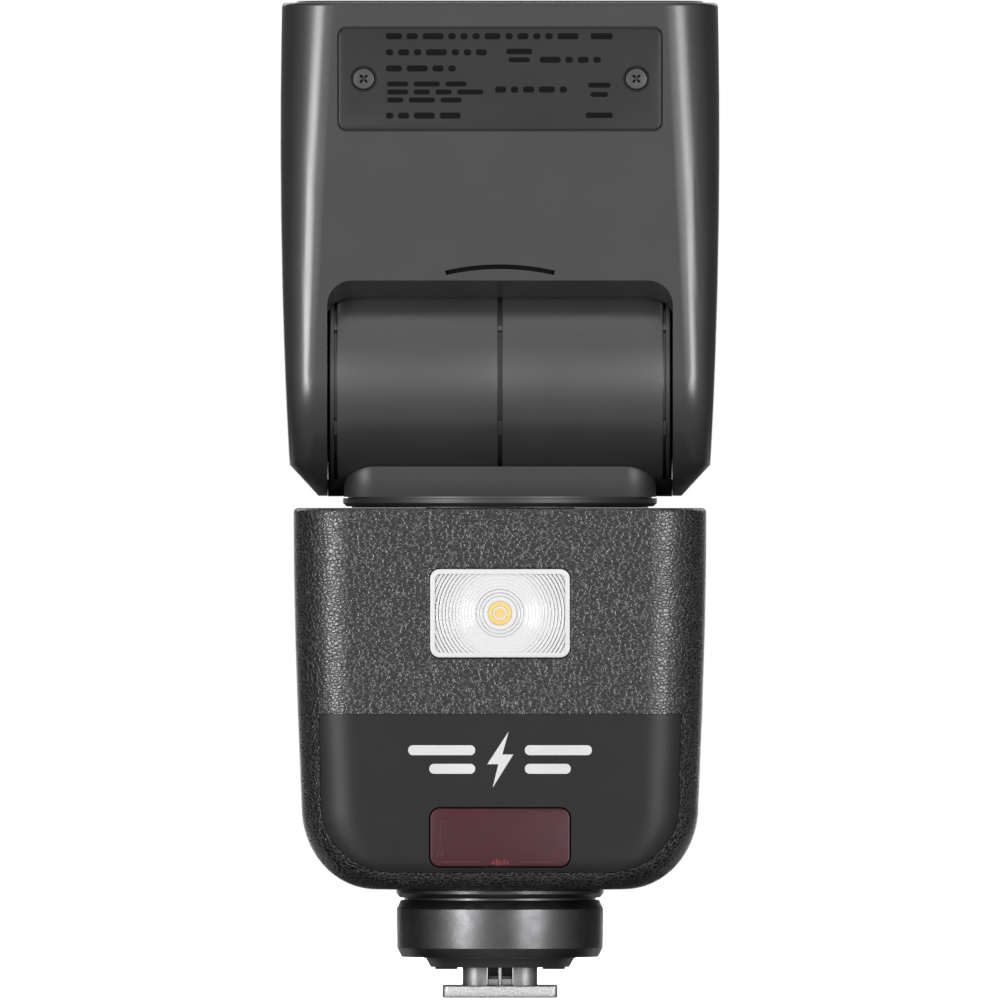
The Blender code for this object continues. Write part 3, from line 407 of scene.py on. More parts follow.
def make_materials():
    found = {
        "head": satin_plastic("satin_moulding", (0.0145, 0.0145, 0.015), 0.3),
        "drum": satin_plastic("barrel_moulding", (0.016, 0.016, 0.0165), 0.31, Specular_IOR_Level=0.82),
        "neck": satin_plastic("neck_moulding", (0.012, 0.012, 0.0125), 0.46, Specular_IOR_Level=0.38),
        "cover": satin_plastic("cover_moulding", (0.009, 0.009, 0.0094), 0.38, Specular_IOR_Level=0.26),
        "leather": leather_plastic("leather_moulding", (0.0055, 0.0055, 0.0057), 0.29),
        "panel": satin_plastic("panel_moulding", (0.0065, 0.0065, 0.0068), 0.44, 0.18, 0.008, Specular_IOR_Level=0.18),
        "black": satin_plastic("black_moulding", (0.015, 0.015, 0.0155), 0.45),
        "control": satin_plastic("control_moulding", (0.014, 0.014, 0.0145), 0.36, 0.15, 0.006),
        # Painted shade: near black and hardly reflecting, for plates put in slots and gaps that are dark only from
        # shade.
        "painted_shade": satin_plastic("shadow_gap", (0.002, 0.002, 0.002), 0.8, Specular_IOR_Level=0.05),
        # Near black and hardly reflecting: the cover's print, and also painted shade on the crescents under the
        # barrel's ends.
        "print": satin_plastic("dark_print_and_shade", (0.002, 0.002, 0.0021), 0.7, Specular_IOR_Level=0.06),
        "rubber": satin_plastic("rubber", (0.016, 0.016, 0.016), 0.7, 0.3, 0.03),
        "anodised": metal("anodised_ring", (0.075, 0.075, 0.077), 0.37, 0.22, 0.016),
        "blasted": metal("blasted_foot", (0.42, 0.42, 0.42), 0.45, 0.3, 0.1, None, 1.0, 0.3, 0.5),
        "milled": metal("milled_stem", (0.24, 0.24, 0.245), 0.46, 0.2, 0.01, (1.0, 1.0, 0.08)),
        "steel": metal("turned_steel", (0.36, 0.36, 0.37), 0.28, 0.15, 0.008, (0.3, 0.3, 2.0)),
        "screw": metal("blackened_screw", (0.075, 0.075, 0.078), 0.38, 0.25, 0.02),
        "mirror": metal("polished_reflector", (0.8, 0.8, 0.82), 0.1, 1.2, 0.01, (0.1, 1.0, 1.0)),
        "gold": metal("gold_contact", (0.7, 0.46, 0.18), 0.25, 0.2, 0.008),
    }
    found["white"] = satin_plastic("white_moulding", (0.46, 0.46, 0.465), 0.4, 0.3, 0.008)
    found["emblem"] = satin_plastic("pale_print", (0.335, 0.335, 0.335), 0.45, 0.2, 0.01)
    found["icon"] = satin_plastic("icon_print", (0.22, 0.22, 0.22), 0.5, 0.2, 0.01)
    board = Surface("board_laminate", (0.006, 0.05, 0.022), 0.45).vary_colour((0.01, 0.085, 0.035), 2.0)
    found["board"] = board.vary_roughness(0.1).grain(0.6, 0.03).material
    wrap = Surface("shrink_sleeve", (0.012, 0.018, 0.036), 0.4).vary_colour((0.018, 0.027, 0.05), 8.0)
    found["wrap"] = wrap.vary_roughness(0.08).grain(3.0, 0.08).material
    led = Surface("led_phosphor", (0.5, 0.3, 0.08), 0.4).vary_colour((0.5, 0.34, 0.12), 0.8)
    found["led"] = led.grain(0.2, 0.01).material
    lens = Surface("clear_lens", (0.97, 0.975, 0.985), 0.06, Transmission_Weight=0.92, IOR=1.35)
    found["lens"] = lens.vary_roughness(0.02, 3.0).grain(1.5, 0.004).material
    milky = Surface("prism_lens", (0.5, 0.5, 0.505), 0.16, Transmission_Weight=0.2, IOR=1.4)
    found["prism"] = milky.vary_roughness(0.03, 1.0).grain(0.8, 0.006).material
    frost = Surface("frosted_rim", (0.42, 0.42, 0.425), 0.45, Transmission_Weight=0.1)
    found["frost"] = frost.vary_roughness(0.06).grain(0.25, 0.01).material
    red = Surface("red_filter", (0.032, 0.0034, 0.0066), 0.36, Specular_IOR_Level=0.28)
    red.vary_colour((0.026, 0.0028, 0.0054), 3.5)
    found["red"] = red.vary_roughness(0.03).grain(0.8, 0.004).material
    glow = Surface("red_emitter", (0.11, 0.006, 0.014), 0.36, Specular_IOR_Level=0.36).vary_colour((0.05, 0.004, 0.009), 0.5)
    found["glow"] = glow.vary_roughness(0.03).grain(0.5, 0.004).material
    faint = Surface("red_inside", (0.052, 0.0045, 0.009), 0.36, Specular_IOR_Level=0.36).vary_colour((0.032, 0.0034, 0.0064), 0.9)
    found["faint"] = faint.vary_roughness(0.03).grain(0.5, 0.004).material
    dark = Surface("dark_glass", (0.005, 0.005, 0.006), 0.08).vary_colour((0.008, 0.008, 0.01), 12.0)
    found["glass"] = dark.vary_roughness(0.02).material
    tube = Surface("tube_glass", (0.95, 0.96, 1.0), 0.04, Transmission_Weight=0.9, IOR=1.45)
    found["tube"] = tube.vary_roughness(0.02).material
    return found


SKIN = make_materials()


# ---------------------------------------------------------------- outer forms


def level_ring(half_x, front, back, radius, z, steps=14):
    outline = rounded_rectangle((-half_x, front), (half_x, back), radius, steps)
    return [(x, y, z) for x, y in outline]


def body_form(name, inset=0.0, top=BODY_TOP):
    """The control body's outer form, or the form a wall's thickness inside it."""
    span_x, span_z, lower_edge, flare = 12.0, 13.4 - inset, 5.0 - inset, 1.3
    rings = []
    for step in range(29):
        turn = math.pi / 2 * step / 28
        rise = span_z * (1 - math.cos(turn))
        tuck = 0.0 if rise >= lower_edge else lower_edge - math.sqrt(lower_edge**2 - (lower_edge - rise) ** 2)
        rings.append((20.0 + (span_x - inset) * math.sin(turn), tuck, BODY_BOTTOM + inset + rise))
    edge = 0.7 if inset == 0.0 else 0.0
    waist = BODY_BOTTOM + 13.4
    for step in range(1, 17):
        share = step / 16
        z = waist + (top - edge - waist) * share
        rings.append((32.0 - inset + flare * math.sin(share * math.pi / 2), 0.0, z))
    wide = rings[-1][0]
    if edge:
        for step in range(1, 5):
            turn = math.pi / 2 * step / 4
            tuck = edge * (1 - math.cos(turn))
            rings.append((wide - tuck, tuck, top - edge * (1 - math.sin(turn))))
    front, back, corner = BODY_FRONT + inset, BODY_BACK - inset, BODY_CORNER - inset
    return loft(name, [level_ring(x, front + t, back - t, corner - t * 0.4, z) for x, t, z in rings])


def head_half_x(z):
    chamfer_top, widest_z, widest = 86.1, 138.5, 35.44
    if z < chamfer_top:
        return 29.3 + (34.0 - 29.3) * (z - HEAD_BOTTOM) / (chamfer_top - HEAD_BOTTOM)
    if z < widest_z:
        return widest - (widest - 34.0) * ((widest_z - z) / (widest_z - chamfer_top)) ** 2
    return widest - 0.25 * ((z - widest_z) / (HEAD_TOP - widest_z)) ** 2


def head_ring(z, inset=0.0, tuck=0.0):
    reach = 20.0 - inset
    if z < TILT_Z:
        front = back = math.sqrt(max(reach**2 - (TILT_Z - z) ** 2, 1.0))
    else:
        rise = min(1.0, (z - TILT_Z) / 28.0)
        front = reach
        back = reach + (HEAD_BACK - 20.0) * rise**2 * (3 - 2 * rise)
    corner = min(5.5 + 3.6 * (z - 104.5) / 53.5 - inset * 0.6, 0.9 * front)
    half_x = head_half_x(z) - inset - tuck
    return level_ring(half_x, tuck - front, back - tuck, corner - tuck, z)


def head_form(name, inset=0.0, top=HEAD_TOP):
    low = 20.0 - inset
    angles = [5, 9, 13, 17, 21, 25, 29, 33, 37, 41.8, 46, 52, 58, 64, 70, 76, 83]
    levels = [(TILT_Z - low * math.cos(math.radians(a)), 0.0) for a in angles]
    levels += [(TILT_Z + 2.0 * step, 0.0) for step in range(16)]
    levels += [(z, 0.0) for z in (136.0, 140.0, 145.0, 150.0, 155.0)]
    if inset == 0.0:
        edge = 0.6
        for step in range(5):
            turn = math.pi / 2 * step / 4
            levels.append((top - edge * (1 - math.sin(turn)), edge * (1 - math.cos(turn))))
    else:
        levels.append((top, 0.0))
    return loft(name, [head_ring(z, inset, tuck) for z, tuck in levels])


def rod(name, axis, centre, start, end, radius, steps=48):
    return turned(name, axis, centre, [(0, end), (radius, end), (radius, start), (0, start)], steps)


# ---------------------------------------------------------------- head


def fork_opening():
    rings = []
    for y, top, corner in ((-24.0, 117.95, 4.4), (HEAD_FRONT, 115.8, 4.0), (-14.0, 112.6, 4.4),
                           (0.5, 104.0, 4.4)):
        outline = rounded_rectangle((-FORK_HALF_X, 70.0), (FORK_HALF_X, top), corner, 10)
        rings.append([(x, y, z) for x, z in outline])
    return loft("fork_opening", rings)


def index_outline():
    radius, high, spread = 39.7, 118.4, 12.9
    centre = (0, high - radius)
    outline = arc(centre, (radius, radius), 90 - spread, 90 + spread, 24)
    outline += arc(centre, (radius - 0.75, radius - 0.75), 90 + spread, 90 - spread, 24)
    return outline


def head_tools():
    """Cutters that both halves of the head's casing share."""
    cavity = carve(head_form("cavity", 2.0, 165.0), cut=[block("liner", (-29.9, -60, 60), (29.9, 60, 121.6))])
    grooves = []
    for side in (-1, 1):
        section = [(7.2, side * 34.3), (7.2, side * 37), (7.6, side * 37), (7.6, side * 34.3)]
        grooves.append(turned("cap_groove", "X", (0, TILT_Z), section))
    return grooves + [
        cavity,
        rod("drum_space", "X", (0, TILT_Z), -FORK_HALF_X, FORK_HALF_X, 19.2, 160),
        rod("bush_seats", "X", (0, TILT_Z), -31, 31, 7.6, 48),
    ]


def head_casing():
    front = head_form("head_front_casing")
    pocket = prism("pocket", "Y", rounded_rectangle((-26.3, 139.8), (26.3, 156.8), 1.6, 8), -22, HEAD_FRONT + 1.4)
    holes = [rod("hole", "Y", (side * 22.0, 148.35), -22, -15, 1.15, 24) for side in (-1, 1)]
    half = block("half", (-60, -0.1, 60), (60, 60, 180))
    carve(front, cut=head_tools() + [half, fork_opening(), prism("index_slot", "Y", index_outline(), -22, -18.8), pocket] + holes)

    def rounds(x, y, z):
        on_face = y < HEAD_FRONT + 0.05 and 83 < z < 157.5 and not 115.9 < z < 119
        fork_side = abs(abs(x) - FORK_HALF_X) < 0.05 and y < -1 and z < 116
        return on_face or fork_side

    soften(front, 0.18, rounds, 2, 28)
    piece(front, SKIN["head"], "head", ["head_front_shell"], 32, True)
    # Painted shade: a near-black plate at the bottom of the index slot, in place of the shade inside the slot.
    slot_shade = prism("index_slot_shade", "Y", index_outline(), HEAD_FRONT + 0.7, -18.75)
    piece(slot_shade, SKIN["painted_shade"], "head", ())

    rear = head_form("head_rear_casing")
    half = block("half", (-60, -60, 60), (60, 0.1, 180))
    back_gap = block("back_gap", (-FORK_HALF_X, -1, 70), (FORK_HALF_X, 40, 94.4))
    carve(rear, cut=head_tools() + [half, back_gap])
    piece(rear, SKIN["head"], "head", ["head_rear_shell"], 32, True)


def cross_recess(centre_x, centre_z, face_y, reach, width, depth):
    """A cross-head driver's tip, which tapers as it goes in."""
    found = []
    for across, up in ((reach, width), (width, reach)):
        rings = []
        for y, shrink in ((face_y - 0.3, 1.15), (face_y + depth, 0.35)):
            a, u = across * shrink, max(up * shrink, width * 0.6)
            a = max(a, width * 0.6)
            rings.append([(centre_x + sx * a, y, centre_z + sz * u)
                          for sx, sz in ((-1, -1), (1, -1), (1, 1), (-1, 1))])
        found.append(loft("cross", rings))
    return found


def service_cover():
    cover = soft_box("service_cover_plate", "Y", (-26.0, HEAD_FRONT, 140.1), (26.0, HEAD_FRONT + 1.2, 156.5),
                     1.3, 0.16)
    wells = [turned("well", "Y", (side * 22.0, 148.35),
                    [(0, -18.0), (2.05, -18.0), (2.05, -19.85), (2.25, -20.3), (0, -20.3)], 64)
             for side in (-1, 1)]
    carve(cover, cut=wells)
    piece(cover, SKIN["cover"], "head", ["service_cover"])
    for side, word in ((-1, "left"), (1, "right")):
        screw = turned(f"machine_screw_{word}", "Y", (side * 22.0, 148.35),
                       eased([(0, -15.6), (0.85, -15.6), (0.85, -18.9), (1.8, -18.9), (1.8, -19.62),
                              (1.62, -19.82), (0, -19.86)], 0.08), 48)
        turn = Matrix.Translation((side * 22.0 * MM, 0, 148.35 * MM)) @ Matrix.Rotation(math.radians(45), 4, "Y")
        tips = cross_recess(0, 0, -19.86, 0.92, 0.19, 0.7)
        for tip in tips:
            tip.data.transform(turn)
        carve(screw, cut=tips)
        piece(screw, SKIN["screw"], "head", [f"cover_screw_{word}"])
    piece(cover_print(), SKIN["print"], "head", ())


def bar_row(start, end, z, half_z, lengths, gap, rng):
    found = []
    x = start
    while True:
        length = rng.choice(lengths)
        if x + length > end:
            return found
        found.append((x, x + length, z - half_z, z + half_z))
        x += length + gap


def cover_print():
    """Plain bars in place of small print."""
    rng = random.Random(7)
    bars = []
    for start, end, z in ((-18.4, 13.2, 155.2), (-18.4, -0.6, 152.6), (6.4, 18.6, 151.4), (-18.4, -4.6, 150.0),
                          (-0.8, 12.4, 146.6), (-18.4, -4.4, 142.4)):
        bars += bar_row(start, end, z, 0.5, (1.2, 1.8, 2.6, 3.4), 0.75, rng)
    for z in (147.5, 146.2, 144.9):
        bars += bar_row(-18.2, -2.4, z, 0.4, (2.6, 3.4, 4.2), 0.9, rng)
    bars += [(14.6, 18.2, 154.7, 155.7), (13.8, 18.2, 142.0, 142.9), (1.0, 5.2, 152.3, 153.2),
             (1.4, 4.8, 151.0, 151.8), (14.2, 17.8, 146.9, 147.7), (14.6, 17.4, 145.4, 146.2)]
    outlines = [bar(*sides) for sides in bars]
    return plates("cover_print", "Y", outlines, HEAD_FRONT - 0.012, HEAD_FRONT + 0.06)


def flash_window():
    """The prism sheet over the flash tube: fine ridges along X, all of one height."""
    rows, low_y, high_y = 40, -15.4, 16.2
    pitch = (high_y - low_y) / rows
    outline = [(low_y, 158.3), (high_y, 158.3), (high_y, 160.1)]
    for row in range(rows):
        y = high_y - pitch * row
        outline += [(y - pitch * 0.12, 160.1), (y - pitch * 0.5, 160.28), (y - pitch * 0.88, 160.1)]
    outline.append((low_y, 160.1))
    sheet = prism("prism_window", "X", outline, -31, 31)
    frame_form = prism("frame_form", "Z", rounded_rectangle((-30.2, low_y), (30.2, high_y), 2.8, 8), 150, 165)
    carve(sheet, keep=[frame_form])
    piece(sheet, SKIN["lens"], "head", ["fresnel_window"], 20)
    frame_ring = soft_prism(
        "window_surround", "Z",
        lambda inset: rounded_rectangle((-32.9 + inset, -17.6 + inset), (32.9 - inset, 18.9 - inset),
                                        7.5 - inset, 10), 156.4, 161.0, 0.35)
    seat = prism("seat", "Z", rounded_rectangle((-30.4, -15.6), (30.4, 16.4), 3.0, 8), 158.1, 165)
    passage = prism("passage", "Z", rounded_rectangle((-28.6, -13.8), (28.6, 14.6), 2.0, 8), 150, 165)
    carve(frame_ring, cut=[seat, passage])
    soften(frame_ring, 0.15, lambda x, y, z: z > 160.9)
    piece(frame_ring, SKIN["black"], "head", ["window_frame"])


# ---------------------------------------------------------------- neck


def barrel_halves():
    for side, word in ((-1, "left"), (1, "right")):
        ends = [(DRUM_RADIUS, 0.4), (DRUM_RADIUS, 26.3), (17.9, 26.3), (17.9, 26.8), (18.5, 26.8), (18.5, 27.45),
                (5.3, 27.45), (5.3, 25.4), (16.2, 25.4), (16.2, 0.4)]
        profile = [(radius, side * along) for radius, along in eased(ends, 0.12)]
        half = turned(f"barrel_half_{word}", "X", (0, TILT_Z), profile, 160)
        piece(half, SKIN["drum"], "neck", [f"barrel_{word}"])
        # Painted shade: a near-black ring in the gap beside each barrel end, in place of the shade inside that gap.
        gap_shade = turned(f"end_gap_shade_{word}", "X", (0, TILT_Z),
                        [(radius, side * along) for radius, along in ((17.6, 27.5), (17.6, 27.8), (9, 27.8), (9, 27.5))], 96)
        piece(gap_shade, SKIN["painted_shade"], "neck", ())
        # Painted shade: a thin crescent in the dark print colour under each barrel end, between the neck and the fork
        # arm, in place of the shade there.
        outline = arc((0, TILT_Z), (19.0, 19.0), -65, -115, 20)
        for step in range(21):
            angle, reach = math.radians(-115 + 2.5 * step), 20.0 - 0.9 * abs(step / 10 - 1) ** 6
            outline.append((reach * math.cos(angle), TILT_Z + reach * math.sin(angle)))
        end_shade = prism(f"barrel_end_shade_{word}", "X", outline, *sorted((side * 25.0, side * 27.84)))
        piece(end_shade, SKIN["print"], "neck", ())
    floor = turned("slit_floor", "X", (0, TILT_Z), [(18.1, -0.4), (18.1, 0.4), (15.95, 0.4), (15.95, -0.4)], 160)
    piece(floor, SKIN["black"], "neck", ())
    for name, start, end, radius in (("slit_bridge", -0.4, 0.4, 18.5), ("rim_bridge_left", -26.8, -26.3, 18.6),
                                     ("rim_bridge_right", 26.3, 26.8, 18.6)):
        outlines = [
            arc((0, TILT_Z), (radius, radius), 180 - low, 180 - high, 6)
            + arc((0, TILT_Z), (radius - 2.6, radius - 2.6), 180 - high, 180 - low, 6)
            for low, high in ((-33.0, -25.0), (21.5, 24.0))]
        piece(plates(name, "X", outlines, start, end), SKIN["drum"], "neck", ())


def neck_parts():
    levels = []
    for step in range(13):
        share = step / 12
        half_y = 11.4 + 0.8 * (1 - math.sin(math.pi / 2 * min(1.0, share * 1.4)))
        levels.append((80.9 + (86.0 - 80.9) * share, half_y))
    levels.append((92.0, 11.4))
    neck = loft("neck_saddle", [level_ring(25.2, -half_y, half_y, 5.0, z, 24) for z, half_y in levels])
    carve(neck, cut=[rod("saddle", "X", (0, TILT_Z), -40, 40, 18.98, 200), rod("way", "Z", (0, 0), 70, 100, 8.0)])
    soften(neck, 0.12, lambda x, y, z: z > 82 and math.hypot(x, y) > 8.5)
    piece(neck, SKIN["neck"], "neck", ["neck_housing"], 32, True)
    disc = turned("swivel_disc", "Z", (0, 0), eased([
        (25.4, 80.7), (25.4, 79.9), (24.8, 79.35), (12.0, 79.35), (12.0, 73.0), (8.0, 73.0), (8.0, 80.7)],
        0.15), 128)
    piece(disc, SKIN["neck"], "neck", ["swivel_base"])
    for name, radius, low, high in (("swivel_shim", 24.6, 80.68, 80.95), ("swivel_skirt", 24.0, 79.14, 79.4)):
        shim = turned(name, "Z", (0, 0), [(radius, low), (radius, high), (14.0, high), (14.0, low)], 96)
        piece(shim, SKIN["black"], "neck", ())


# ---------------------------------------------------------------- control body


def panel_outline(grow=0.0):
    side, low, top = 28.8 + grow, 20.4 - grow, 45.9 + grow
    centre = (17.0, 31.0)
    right = arc(centre, (side - centre[0], centre[1] - low), -90, 0, 24)
    right += [(side + 0.35, top)]
    return right + [(-x, z) for x, z in reversed(right)]


def window_cut(name, low, high, grow=0.15):
    outline = rounded_rectangle((-11.3 - grow, low - grow), (11.3 + grow, high + grow), 1.6 + grow, 10)
    return prism(name, "Y", outline, -30, -20)


def body_tools():
    """Cutters that both halves of the control body's casing share."""
    port_outline = rounded_rectangle((-4.15, 27.85), (10.45, 52.15), 1.6, 8)
    port = carve(prism("port", "X", port_outline, 20, 40), cut=[body_form("port_depth", 1.7)])
    return [
        body_form("cavity", 2.4, BODY_TOP - 2.0),
        rod("spindle_hole", "Z", (0, 0), 15, 21, 9.0),
        rod("hub_hole", "Z", (0, 0), 75, 82, 12.5),
        prism("battery_way", "X", rounded_rectangle((-8.0, 24.0), (14.0, 62.0), 2.5, 8), -40, -20),
        port,
        block("usb_way", (26, -1.7, 44.1), (34, 7.7, 47.9)),
        rod("jack_way", "X", (3.0, 35.0), 26, 34, 3.1),
    ]


def body_casing():
    front = body_form("front_casing")
    pocket = carve(prism("panel_pocket", "Y", panel_outline(0.07), -40, 0), cut=[body_form("floor", 1.5)])
    own = [
        block("half", (-60, -0.1, 0), (60, 60, 100)),
        pocket,
        window_cut("light_way", 55.0, 69.3),
        window_cut("assist_way", 21.3, 30.8),
        prism("release_way", "X", rounded_rectangle((-13.2, 37.8), (-9.8, 48.2), 1.0, 6), -36, -26),
    ]
    carve(front, cut=body_tools() + own)
    soften(front, 0.15, lambda x, y, z: y < BODY_FRONT + 0.02 and abs(x) < 12.5 and z > 50)
    piece(front, SKIN["leather"], "control_body", ["body_front_shell"], 32, True)

    rear = body_form("rear_casing")
    own = [
        block("half", (-60, -60, 0), (60, 0.1, 100)),
        rod("dial_recess", "Y", (0, DIAL_Z), 25.0, 30, 9.6, 96),
        rod("dial_bore", "Y", (0, DIAL_Z), 20, 30, 6.3, 64),
        prism("screen_pocket", "Y", rounded_rectangle((-24.65, 42.35), (24.65, 75.15), 2.6, 10), 24.9, 30),
        block("screen_way", (-22, 20, 45), (22, 30, 72.5)),
        prism("switch_recess", "Y", rounded_rectangle((13.0, 23.7), (24.0, 27.3), 1.7, 8), 24.7, 30),
        block("switch_way", (15.3, 20, 24.7), (21.7, 30, 26.3)),
    ]
    for x, z in button_places():
        own.append(rod("button_way", "Y", (x, z), 20, 30, 3.0))
    carve(rear, cut=body_tools() + own)
    soften(rear, 0.15, lambda x, y, z: y > BODY_BACK - 0.02 and abs(x) < 25.5 and 18.5 < z < 77)
    piece(rear, SKIN["leather"], "control_body", ["body_rear_shell"], 32, True)


def bolt_outline(centre_x, centre_z, scale):
    """A plain lightning bolt."""
    points = ((1.3, 4.2), (-1.9, -0.7), (-0.25, -0.7), (-1.1, -4.2), (2.0, 0.75), (0.35, 0.75))
    return [(centre_x + x * scale, centre_z + z * scale) for x, z in points]


def emblem_outlines():
    """A bolt between two pairs of plain bars."""
    centre_z = 38.6
    found = [bolt_outline(0.0, centre_z, 1.08)]
    for side in (-1, 1):
        for row, end in enumerate((14.8, 11.4)):
            z = centre_z + 1.5 - 3.0 * row
            low, high = sorted((side * 4.0, side * end))
            found.append(rounded_rectangle((low, z - 0.8), (high, z + 0.8), 0.75, 5))
    return found


def front_panel():
    panel = prism("smooth_front_panel", "Y", panel_outline(), -40, -8)
    carve(panel, keep=[body_form("face")],
          cut=[body_form("back", 1.2), window_cut("assist_way", 21.3, 30.8)]
          + [prism("emblem_pocket", "Y", outline, -40, BODY_FRONT + 0.12) for outline in emblem_outlines()])
    piece(panel, SKIN["panel"], "control_body", ["front_panel"], 32)
    emblem = plates("panel_emblem", "Y", emblem_outlines(), BODY_FRONT + 0.01, BODY_FRONT + 0.14)
    piece(emblem, SKIN["emblem"], "control_body", ())


def modelling_light():
    """The prism lens with its concentric steps and the lamp behind its middle, in a frosted rim."""
    centre = (0.0, 62.15)
    profile = [(0, -25.2), (15.0, -25.2), (15.0, -26.9)]
    radius = 14.7
    while radius > 2.7:
        depth = 0.17 if radius < 4.6 else 0.05 + 0.25 * min(1.0, max(0.0, (radius - 6.5) / 4.0))
        profile += [(radius, -27.26), (radius - 0.3, -27.3), (radius - 0.42, -27.3 + depth), (radius - 0.5, -27.28)]
        radius -= 0.55
    profile += [(2.2, -27.3), (1.96, -27.25), (1.94, -26.9), (0, -26.9)]
    lens = turned("modelling_prism_lens", "Y", centre, profile, 160)
    inner = rounded_rectangle((-10.55, 55.75), (10.55, 68.55), 1.0, 8)
    carve(lens, keep=[prism("lens_form", "Y", inner, -30, -20)])
    piece(lens, SKIN["prism"], "control_body", ["modelling_lens"], 14)
    dot = turned("lamp_dot", "Y", centre, [
        (0, -26.95), (1.9, -26.95), (1.9, -27.22), (1.4, -27.3), (1.22, -27.3), (1.16, -27.2), (0, -27.24)][::-1], 64)
    piece(dot, SKIN["led"], "control_body", (), 40)
    ring = turned("lamp_ring", "Y", centre, [(0.84, -27.15), (1.14, -27.15), (1.14, -27.34), (0.84, -27.34)], 64)
    piece(ring, SKIN["prism"], "control_body", ())
    rim = soft_prism(
        "modelling_rim", "Y",
        lambda inset: rounded_rectangle((-11.3 + inset, 55.0 + inset), (11.3 - inset, 69.3 - inset),
                                        1.6 - inset, 10), BODY_FRONT, -25.2, 0.25)
    carve(rim, cut=[prism("rim_way", "Y", rounded_rectangle((-10.5, 55.8), (10.5, 68.5), 0.95, 8), -30, -20)])
    piece(rim, SKIN["frost"], "control_body", ())


def assist_window():
    window = soft_box("red_assist_window", "Y", (-11.3, BODY_FRONT + 0.1, 21.3), (11.3, -25.4, 30.8), 1.6, 0.3, 10)
    piece(window, SKIN["red"], "control_body", ["assist_window"])
    face = BODY_FRONT + 0.1
    emitters = [(-1.35, -0.85, 21.7, 22.3), (-0.7, -0.25, 21.55, 22.6), (-0.15, 0.35, 21.5, 22.3),
                (0.5, 0.85, 21.6, 22.6), (1.0, 1.4, 21.7, 22.3)]
    inside = [(-9.4, -3.2, 22.0, 22.18), (3.2, 9.4, 22.0, 22.18), (-0.95, -0.55, 25.5, 25.85), (0.2, 0.6, 25.5, 25.85)]
    for side in (-1, 1):
        for start, end, low, high in ((9.9, 10.15, 23.0, 24.2), (9.2, 9.45, 23.0, 24.2), (9.3, 10.1, 24.05, 24.25),
                                      (9.55, 9.7, 24.6, 28.6), (8.7, 10.0, 28.5, 28.65)):
            left, right = sorted((side * start, side * end))
            inside.append((left, right, low, high))
    for name, skin, boxes in (("assist_emitters", "glow", emitters), ("assist_optics", "faint", inside)):
        marks = plates(name, "Y", [bar(*sides) for sides in boxes], face - 0.008, face + 0.05)
        piece(marks, SKIN[skin], "control_body", ())


def button_places():
    return (18.5, 35.0), (-18.5, 35.0), (-18.5, 25.5)


def rear_controls():
    ribs = 60
    profile = eased([(5.0, 27.3), (6.4, 27.42), (8.8, 27.42), (9.2, 27.05), (9.2, 25.3), (5.9, 25.3),
                     (5.9, 20.0), (4.7, 20.0), (4.7, 26.9)], 0.12, 2)
    dial = turned("ribbed_dial", "Y", (0, DIAL_Z), profile, ribs * 4)
    for vertex in dial.data.vertices:
        x, y, z = vertex.co / MM
        radius = math.hypot(x, z - DIAL_Z)
        if radius > 9.0:
            turn = math.atan2(z - DIAL_Z, x)
            shrink = 1 - 0.022 * (0.5 + 0.5 * math.cos(turn * ribs))
            vertex.co = Vector((x * shrink, y, DIAL_Z + (z - DIAL_Z) * shrink)) * MM
    piece(dial, SKIN["control"], "control_dial", ["control_dial"], 25)
    centre = turned("domed_set_button", "Y", (0, DIAL_Z), eased([
        (0, 26.75), (2.6, 26.85), (3.7, 26.9), (4.3, 26.5), (4.3, 24.4), (2.0, 24.4), (2.0, 19.9), (0, 19.9)],
        0.2), 64)
    piece(centre, SKIN["control"], "set_button", ["set_button"])
    for name, (x, z) in zip(("menu", "mode", "test"), button_places()):
        made = turned(f"round_{name}_button", "Y", (x, z), eased([
            (0, 26.72), (1.8, 26.78), (2.4, 26.8), (2.8, 26.4), (2.8, 23.5), (3.5, 23.5), (3.5, 22.4),
            (0, 22.4)], 0.2), 56)
        piece(made, SKIN["control"], f"{name}_button", [f"{name}_button"])
    knob = soft_box("ridged_switch", "Y", (13.3, 25.0, 24.0), (19.3, 26.8, 27.0), 1.4, 0.25)
    grooves = [block("groove", (x - 0.18, 26.5, 24.4), (x + 0.18, 28, 26.6)) for x in (15.3, 16.3, 17.3)]
    carve(knob, join=[block("leg", (15.6, 21.5, 24.95), (17.4, 25.6, 26.05))], cut=grooves)
    piece(knob, SKIN["control"], "power_switch", ["power_switch"])
    rear_marks()
    glass = soft_box("screen_glass", "Y", (-24.5, 25.1, 42.5), (24.5, 26.2, 75.0), 2.5, 0.3, 10)
    piece(glass, SKIN["glass"], "control_body", ["display_glass"])


